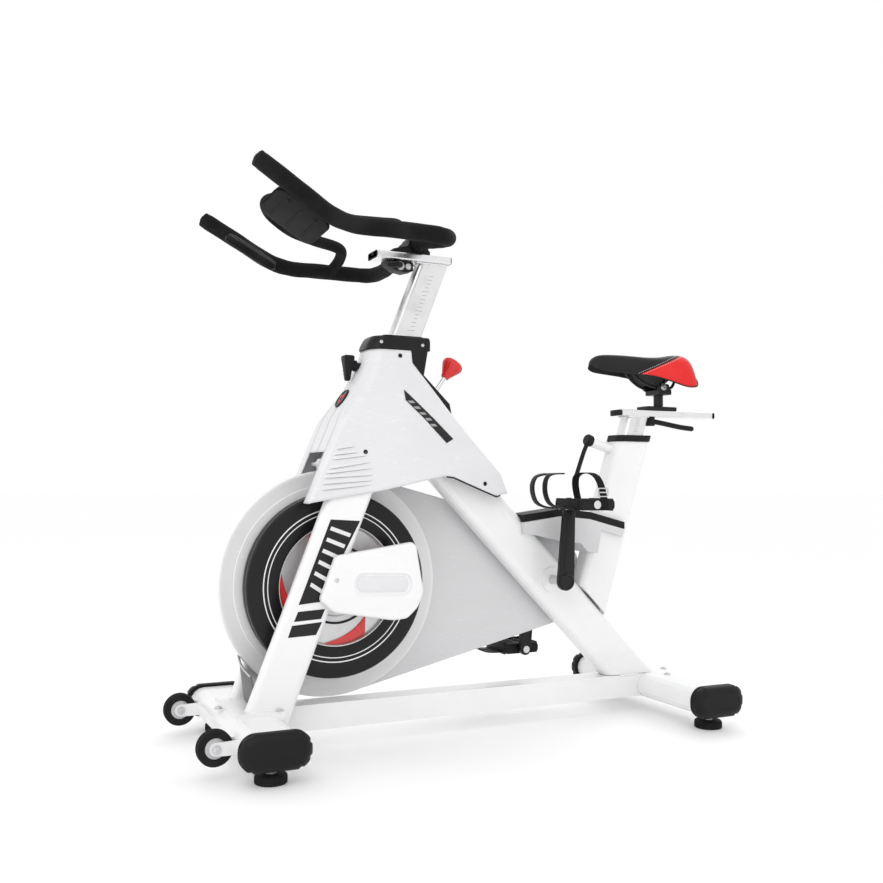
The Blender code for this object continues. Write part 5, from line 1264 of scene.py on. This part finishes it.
def build_head():
    cap = Shape()
    collar = [(0.0796, .8250), (0.0900, .7640), (0.0935, .7430), (0.1250, .7796), (0.1264, .8070),
              (0.1264, .8250)]
    cap.slab(collar, "y", -0.0444, 0.0444, 0.0032, 4)
    rings = []
    for z, front, inset in ((0.8056, 0.2120, 0.0030), (0.8060, 0.2140, 0.0008), (0.8075, 0.2145, 0.0),
                            (0.8150, 0.2125, 0.0),
                            (0.8260, 0.2065, 0.0), (0.8320, 0.2025, 0.0010), (0.8345, 0.1985, 0.0035),
                            (0.8350, 0.1940, 0.0070)):
        half, corner, ring = 0.045 - inset, 0.030, []
        for step in range(13):
            turn = math.pi / 2 * step / 12
            ring.append((front - corner + corner * math.cos(turn), half - corner + corner * math.sin(turn),
                         z))
        ring.append((0.0790 + inset, half, z))
        rings.append(ring + [(x, -y, z) for x, y, z in reversed(ring)])
    cap.skin(rings)
    spine = [(0.0930, .7650), (0.0245, .6985), (0.0190, .6730), (0.0320, .6720), (0.0423, .6830),
             (0.0739, .7200),
             (0.1100, .7614)]
    cap.slab(spine, "y", -0.030, 0.030, 0.0030, 4)
    throat = [(a + 0.1310, b) for a, b in round_rect(0.0920, 0.0560, 0.0090, 5)]
    cap.slab(throat, "z", 0.8335, 0.8385, 0.0020)
    cap.use(1)
    for side in (1, -1):
        cap.dome(Vector((0.1890, side * 0.0448, 0.8200)), LEFT * side, 0.0036, 0.0016)
        cap.dome(Vector((0.0960, side * 0.0448, 0.8180)), LEFT * side, 0.0036, 0.0016)
    cap.made("head_cap_shell", "frame", "black_plastic", [GLOSS_BLACK, BOLT], ["head_cap"], sharp=30)

    pin = Shape()
    low, high = room("head_pin")
    centre = Vector((0.0, 0.0, 0.772))
    pin.turned([(0.0070, low.x + 0.002), (0.0070, 0.2260), (0.0118, 0.2280), (0.0118, 0.2330),
                (0.0100, 0.2350),
                (0.0100, high.x - 0.010)], centre, FRONT, 40)
    rings = []
    for z, back, front, half in ((0.7402, 0.2440, 0.2500, 0.0040), (0.7410, 0.2420, 0.2515, 0.0058),
                                 (0.7440, 0.2410, 0.2522, 0.0068), (0.7700, 0.2375, 0.2548, 0.0105),
                                 (0.7860, 0.2345, 0.2570, 0.0135), (0.7915, 0.2350, 0.2568, 0.0130),
                                 (0.7932, 0.2375, 0.2545, 0.0105)):
        rings.append([((back + front) / 2 + a, b, z)
                      for a, b in round_rect(front - back, 2 * half, min(0.0035, (front - back) * 0.35),
                                             5)])
    pin.skin(rings)
    for rib in range(5):
        z = 0.7540 + rib * 0.0070
        pin.tube([(0.2530 + rib * 0.0007, -0.0060, z), (0.2530 + rib * 0.0007, 0.0060, z)], 0.0010, 8)
    pin.made("head_pin_grip", "post_pin", "black_plastic", [BLACK], ["head_pin"], sharp=40)

    knob_point = pivot("knob_turn")
    down = Vector((0.5747, 0, -0.8184))
    knob = Shape()
    profile = [(0.0040, -0.0160), (0.0120, -0.0158), (0.0165, -0.0146), (0.0200, -0.0118),
               (0.0213, -0.0085),
               (0.0213, -0.0030), (0.0196, 0.0015), (0.0160, 0.0085), (0.0128, 0.0150), (0.0112, 0.0180)]
    rings = []
    side, other = LEFT, down.cross(LEFT).normalized()
    for radius, along in profile:
        ring = []
        for step in range(96):
            turn = 2 * math.pi * step / 96
            lobe = 1.0 - (0.045 if radius > 0.0150 else 0.0) * max(0.0, math.cos(turn * 8)) ** 3
            out = side * math.cos(turn) + other * math.sin(turn)
            ring.append(knob_point + down * along + out * radius * lobe * KNOB_GROWTH)
        rings.append(ring)
    knob.skin(rings)
    knob.turned([(0.0114, 0.0178), (0.0118, 0.0190), (0.0104, 0.0215), (0.0088, 0.0270), (0.0060, 0.0277)],
                       knob_point, down, 48)
    knob.made("resistance_knob_grip", "knob", "red_plastic", [RED, GLOSS_BLACK], ["resistance_knob"],
              sharp=50)


# ---- bars -----------------------------------------------------------------------------------
BAR_RADIUS, HOOP_RADIUS = 0.0172, 0.0125
BAR_LEVEL, BAR_WIDE, BAR_BEND = 1.010, 0.213, 0.343
CROSS_X, CROSS_LEVEL = 0.098, 1.036
HORN_TIP = Vector((0.500, 0.2305, 1.1035))


def bar_line(side):
    bend = Vector((BAR_BEND, side * BAR_WIDE, BAR_LEVEL + 0.004))
    horn = Vector((HORN_TIP.x, side * HORN_TIP.y, HORN_TIP.z))
    return [(CROSS_X, side * 0.032, CROSS_LEVEL), (CROSS_X, side * 0.060, CROSS_LEVEL - 0.001),
            (CROSS_X, side * 0.120, CROSS_LEVEL - 0.012),
            (CROSS_X + 0.002, side * 0.170, BAR_LEVEL + 0.006),
            (CROSS_X + 0.020, side * 0.202, BAR_LEVEL), (CROSS_X + 0.060, side * BAR_WIDE, BAR_LEVEL),
            (0.250, side * BAR_WIDE, BAR_LEVEL), (BAR_BEND - 0.035, side * BAR_WIDE, BAR_LEVEL),
            bend.lerp(horn, 0.10), bend.lerp(horn, 0.55), horn]


def build_handlebar():
    path = curved(list(reversed(bar_line(-1))) + bar_line(1), 9)
    radii = []
    for at in range(len(path)):
        ripple = 0.00025 * math.sin(at * 0.9) + 0.00015 * math.sin(at * 0.37)
        near_tip = min(at, len(path) - 1 - at)
        radii.append(BAR_RADIUS - 0.0004 + ripple - (0.0009 if near_tip < 2 else 0.0))
    bar = Shape().tube(path, radii, 32, dome=0.0052)
    root_x, root_y = 0.215, BAR_WIDE - 0.004
    near = [(root_x, root_y, BAR_LEVEL), (0.208, 0.165, 0.022 + BAR_LEVEL),
            (0.226, 0.120, 0.034 + BAR_LEVEL),
            (0.290, 0.094, 0.040 + BAR_LEVEL), (0.345, 0.084, 0.052 + BAR_LEVEL),
            (0.392, 0.062, 0.072 + BAR_LEVEL),
            (0.414, 0.030, 0.082 + BAR_LEVEL)]
    far = [(x, -y, z) for x, y, z in near]
    hoop = curved(far + [(0.420, 0.0, BAR_LEVEL + 0.085)] + list(reversed(near)), 8)
    bar.tube(hoop, HOOP_RADIUS - 0.0002, 28)
    bar.use(1)
    for side in (1, -1):
        line = bar_line(side)
        way = (Vector(line[-1]) - Vector(line[-2])).normalized()
        tip = Vector(line[-1])
        bar.turned([(0.0060, 0.0040), (0.0060, 0.0055), (0.0045, 0.0059)], tip, way, 24)
        for place in (0.0470, 0.0510):
            here = Vector((CROSS_X, side * place, CROSS_LEVEL - 0.0008))
            bar.turned([(BAR_RADIUS - 0.001, -0.0008), (BAR_RADIUS + 0.0004, -0.0006),
                        (BAR_RADIUS + 0.0004, 0.0006), (BAR_RADIUS - 0.001, 0.0008)], here, LEFT, 40)
    bar.made("handlebar_grips", "bar", "black_foam", [FOAM, BLACK], ["handlebar"], sharp=50)


def build_elbow_pads():
    tip = math.radians(24)
    for hand, side in SIDES:
        bend = Vector((BAR_BEND, side * BAR_WIDE, BAR_LEVEL + 0.004))
        horn = Vector((HORN_TIP.x, side * HORN_TIP.y, HORN_TIP.z))
        along = (horn - bend).normalized()
        inward = Vector((0, -side, 0))
        inward = (inward - along * inward.dot(along)).normalized()
        normal = inward.cross(along).normalized()
        if normal.z < 0:
            normal = -normal
        across = (inward * math.cos(tip) - normal * math.sin(tip)).normalized()
        lift = (normal * math.cos(tip) + inward * math.sin(tip)).normalized()
        length, width, thick = 0.120, 0.080, 0.012
        middle = bend + along * length / 2 + across * (BAR_RADIUS + 0.0012 + width / 2)

        def point(a, b, c):
            return middle + along * a + across * b + lift * c

        plate = Shape()
        rings = []
        for inset, height in ((0.004, -thick / 2), (0.001, -thick / 2 + 0.0012), (0.001, -0.0010)):
            rings.append([point(a, b, height)
                          for a, b in round_rect(length - 2 * inset, width - 2 * inset, 0.017, 6)])
        plate.skin(rings)
        for a in (-0.035, 0.0, 0.035):
            plate.skin([[point(a + u, v, -thick / 2 - 0.0005) for u,
                         v in round_rect(0.006, width * 0.7, 0.0025, 3)],
                        [point(a + u, v, -thick / 2 + 0.0010) for u,
                         v in round_rect(0.006, width * 0.7, 0.0025, 3)]])
        for a, b in ((-0.030, -0.028), (0.030, -0.028)):
            plate.dome(point(a, b, -thick / 2 + 0.0002), -lift, 0.0042, 0.0022)
        plate.made(f"elbow_plate_{hand}", "bar", "black_plastic", [BLACK], sharp=35)

        pad = Shape()
        rings = []
        steps = [(0.0025, -0.0016), (0.0002, -0.0002), (0.0, 0.0040), (0.0006, 0.0080), (0.0028, 0.0108)]
        steps += [(0.0070, 0.0124), (0.0130, 0.0130), (0.0200, 0.0131), (0.0270, 0.0129), (0.0340, 0.0126)]
        for inset, height in steps:
            ring = []
            for a, b in round_rect(length - 2 * inset, width - 2 * inset, max(0.004, 0.018 - inset * 0.5),
                                   9):
                dish = -0.0016 * math.cos(math.pi * b / width) * (1 if inset > 0.006 else 0)
                pucker = 0.0003 * math.sin(a * 420) * (1 if 0 < inset < 0.01 else 0)
                ring.append(point(a, b, height + dish + pucker))
            rings.append(ring)
        pad.skin(rings)
        piece = pad.made(f"elbow_cushion_{hand}", "bar", "black_foam", [FOAM], [f"elbow_pad_{hand}"],
                         levels=1,
                         sharp=80)
        seam = Shape()
        outline = [point(a, b, -0.0002) for a, b in round_rect(length + 0.0006, width + 0.0006, 0.018, 8)]
        seam.tube(outline + outline[:1], 0.0011, 10)
        seam.made(f"elbow_welt_{hand}", "bar", "black_plastic", [BLACK])


def build_bar_details():
    """Bar clamp with its screws, the block and lever under the rail, and the rail's end caps."""
    low, high = room("bar_rail")
    clamp = Shape()
    for side in (1, -1):
        clamp.dome(Vector((0.1380, side * 0.0150, 1.0228)), UP, 0.0045, 0.0026)
        clamp.dome(Vector((0.0980, side * 0.0175, 1.0572)), UP, 0.0042, 0.0022)
    clamp.use(1)
    collar = []
    for turn in range(-58, 239, 11):
        angle = math.radians(turn)
        collar.append((CROSS_X + 0.0212 * math.cos(angle), CROSS_LEVEL + 0.0212 * math.sin(angle)))
    inner = [(CROSS_X + (a - CROSS_X) * 0.83, CROSS_LEVEL + (b - CROSS_LEVEL) * 0.83) for a, b in collar]
    ring_sections = []
    for y in (-0.0240, -0.0228, 0.0228, 0.0240):
        grow = 0.97 if abs(y) > 0.0235 else 1.0
        ring_sections.append([(CROSS_X + (a - CROSS_X) * grow, y, CROSS_LEVEL + (b - CROSS_LEVEL) * grow)
                              for a, b in collar] + [(a, y, b) for a, b in inner[::-1]])
    clamp.skin(ring_sections)
    clamp.made("bar_clamp", "bar", "black_plastic", [BOLT, BLACK], sharp=35)
    knob = Shape()
    block = [(0.1060, 0.9985), (0.1680, 0.9985), (0.1640, 0.9900), (0.1480, 0.9790), (0.1240, 0.9750),
             (0.1060, 0.9800)]
    knob.slab(block, "y", -0.0170, 0.0170, 0.0022)
    knob.tube(curved([(0.1400, 0.0150, 0.9880), (0.1420, 0.0300, 0.9870), (0.1520, 0.0380, 0.9850),
                      (0.1700, 0.0400, 0.9830)], 5), [0.0060] * 16, 18, dome=0.005)
    knob.use(1).bolt(Vector((0.1360, 0.0168, 0.9880)), LEFT, 0.0068, 0.0050)
    knob.bolt(Vector((0.1180, 0.0168, 0.9880)), LEFT, 0.0048, 0.0040)
    knob.made("bar_rail_knob", "bar_stem", "black_plastic", [BLACK, BOLT], sharp=35)
    caps = Shape()
    for x, way in ((low.x, -1), (high.x, 1)):
        outline = [(a, low.z + 0.008 + b) for a, b in round_rect(0.0520, 0.0156, 0.0040, 4)]
        caps.slab(outline, "x", x, x - way * 0.0016, 0.0006, 2)
    bead(caps.use(1), [(0.0340, 0.0190, 0.9985), (0.1000, 0.0190, 0.9985)], 0.0018)
    bead(caps, [(0.0340, -0.0190, 0.9985), (0.1000, -0.0190, 0.9985)], 0.0018)
    caps.made("bar_rail_caps", "bar_stem", "black_plastic", [BLACK, RAIL])


# ---- seat -----------------------------------------------------------------------------------
SADDLE_ROWS = ((-0.3515, 0.0100, 0.8130, 0.8030), (-0.3590, 0.0180, 0.8230, 0.7960),
               (-0.3780, 0.0245, 0.8310, 0.7910),
               (-0.4150, 0.0280, 0.8340, 0.7880), (-0.4600, 0.0330, 0.8335, 0.7850),
               (-0.5000, 0.0450, 0.8320, 0.7810),
               (-0.5350, 0.0630, 0.8335, 0.7700), (-0.5650, 0.0790, 0.8385, 0.7580),
               (-0.5860, 0.0840, 0.8400, 0.7560),
               (-0.6010, 0.0780, 0.8360, 0.7620), (-0.6110, 0.0600, 0.8270, 0.7780),
               (-0.6170, 0.0330, 0.8160, 0.7960))


def saddle_rows(steps=5):
    """Finer rows between the main ones: place, half width, top and edge heights."""
    fine = []
    for lane in (0, 2):
        fine.append(curved([(row[lane], row[lane + 1], 0.0) for row in SADDLE_ROWS], steps))
    return [(a.x, a.y, b.x, b.y) for a, b in zip(*fine)]


def build_saddle():
    cover = Shape()
    rings = []
    rows = saddle_rows()
    for x, half, top, edge in rows:
        drop = top - edge
        ring = []
        for step in range(41):
            share = -1 + step / 20
            groove = 0.0026 * math.exp(-(share * half / 0.0085) ** 2) * min(1.0,
                                                            max(0.0, (-0.372 - x) / 0.04)) \
                * min(1.0, max(0.0, (x + 0.600) / 0.03))
            bulge = 0.0012 * math.exp(-((abs(share) - 0.62) / 0.20) ** 2)
            ring.append((x, half * (1 - 0.02 * abs(share) ** 8) * share,
                         top - 0.0009 - groove + bulge * 0.6 - drop * abs(share) ** 3.4))
        thick = 0.30 * drop + 0.004
        for step in range(25):
            share = 1 - step / 12
            inner = half * 0.955 * share
            roof = top - thick - (drop * 0.70 - 0.004) * abs(share) ** 3.0
            ring.append((x, inner, max(edge - 0.0002, roof) if abs(share) > 0.97 else roof))
        rings.append(ring)
    cover.skin(rings, lining=40)
    saddle = cover.made("saddle_cover", "seat", "saddle_cover", [SADDLE, BLACK], ["saddle"], levels=1,
                        sharp=80)
    piping = Shape()
    for side in (1, -1):
        line = [(x, side * (half + 0.0001), edge + 0.0012) for x, half, top, edge in rows[3:-4]]
        piping.tube(line, 0.0013, 10, dome=0.001)
    piping.made("saddle_piping", "seat", "saddle_cover", [GLOSS_BLACK])


def build_saddle_base():
    base = Shape()
    rings = []
    for x, _, top, edge in saddle_rows(3):
        if not -0.598 <= x <= -0.385:
            continue
        drop = top - edge
        roof = top - 0.30 * drop - 0.0066
        wide = 0.0120 + 0.0140 * min(1.0, max(0.0, (-0.470 - x) / 0.060))
        ring = []
        for a, b in round_rect(2 * wide, 0.0060, 0.0024, 4):
            ring.append((x, a, roof + b - 0.0030 - 0.0030 * (a / wide) ** 2))
        rings.append(ring)
    base.skin(rings)
    for side in (1, -1):
        path = curved([(-0.440, side * 0.008, 0.8120), (-0.478, side * 0.0150, 0.7770),
                       (-0.512, side * 0.020, 0.7608),
                       (-0.540, side * 0.020, 0.7608), (-0.570, side * 0.020, 0.7614),
                       (-0.588, side * 0.020, 0.8050)], 7)
        base.use(1).tube(path, 0.0035, 18)
        base.use(0).turned([(0.0062, -0.004), (0.0062, 0.003), (0.0045, 0.006)],
                           Vector((-0.588, side * 0.020, 0.8030)), -UP, 20)
    base.made("saddle_shell", "seat", "black_plastic", [BLACK, IRON], ["saddle_base"], sharp=45)
    clamp = Shape()
    for side in (1, -1):
        outline = rect_at(-0.5400, 0.7600, 0.0340, 0.0150, 0.0050, 5)
        clamp.slab(outline, "y", side * 0.0246, side * 0.0285, 0.0012, 2)
        clamp.use(1).bolt(Vector((-0.5400, side * 0.0283, 0.7600)), LEFT * side, 0.0062, 0.0045).use(0)
    clamp.made("saddle_clamp", "seat", "black_iron", [IRON, BOLT], sharp=35)


def build_seat_details():
    low, high = room("seat_rail")
    ends = Shape()
    for x, way in ((low.x, -1), (high.x, 1)):
        outline = [(a, low.z + 0.00725 + b) for a, b in round_rect(0.0460, 0.0142, 0.0036, 4)]
        ends.slab(outline, "x", x, x - way * 0.0016, 0.0006, 2)
    bead(ends.use(1), [(-0.5020, 0.0208, 0.6878), (-0.4440, 0.0208, 0.6878)], 0.0018)
    bead(ends, [(-0.5020, -0.0208, 0.6878), (-0.4440, -0.0208, 0.6878)], 0.0018)
    ends.made("seat_rail_caps", "seat_stem", "black_plastic", [BLACK, RAIL])


def seat_line(z):
    return -0.437 - 0.310 * (z - 0.565)


def bar_line_at(z):
    return 0.0855 - 0.0030 - 0.390 * (z - 0.925)


def build_post_scales():
    """Height marks on both posts; each row gives the marks' place, size and the post's face."""
    film = 0.00022
    for name, body, line, lowest, pitch, count, longest, long, short, thick, face in (
            ("seat_post_scale", "seat_stem", seat_line, 0.6520, 0.0038, 9, 4, 0.0075, 0.0045, 0.0007,
             0.0199),
            ("bar_post_scale", "bar_stem", bar_line_at, 0.8520, 0.0085, 15, 5, 0.0085, 0.0050, 0.0009,
             0.0179)):
        marks = Shape()
        for tick in range(count):
            z = lowest + tick * pitch
            wide = short if tick % longest else long
            x = line(z)
            marks.slab([(x - wide, z), (x + wide, z), (x + wide, z + thick), (x - wide, z + thick)],
                       "y", face, face + film)
        marks.made(name, body, "black_plastic", [GREY_INK_AND_SHADOW])


build_stage()
build_camera()
build_transport_wheels()
build_feet()
build_end_caps()
build_flywheel()
build_belt_covers()
build_cranks()
build_pedals()
dress_solids()
build_leg_decals()
build_axle_cover()
build_frame_details()
build_shroud()
build_head()
build_handlebar()
build_elbow_pads()
build_bar_details()
build_saddle()
build_saddle_base()
build_seat_details()
build_post_scales()
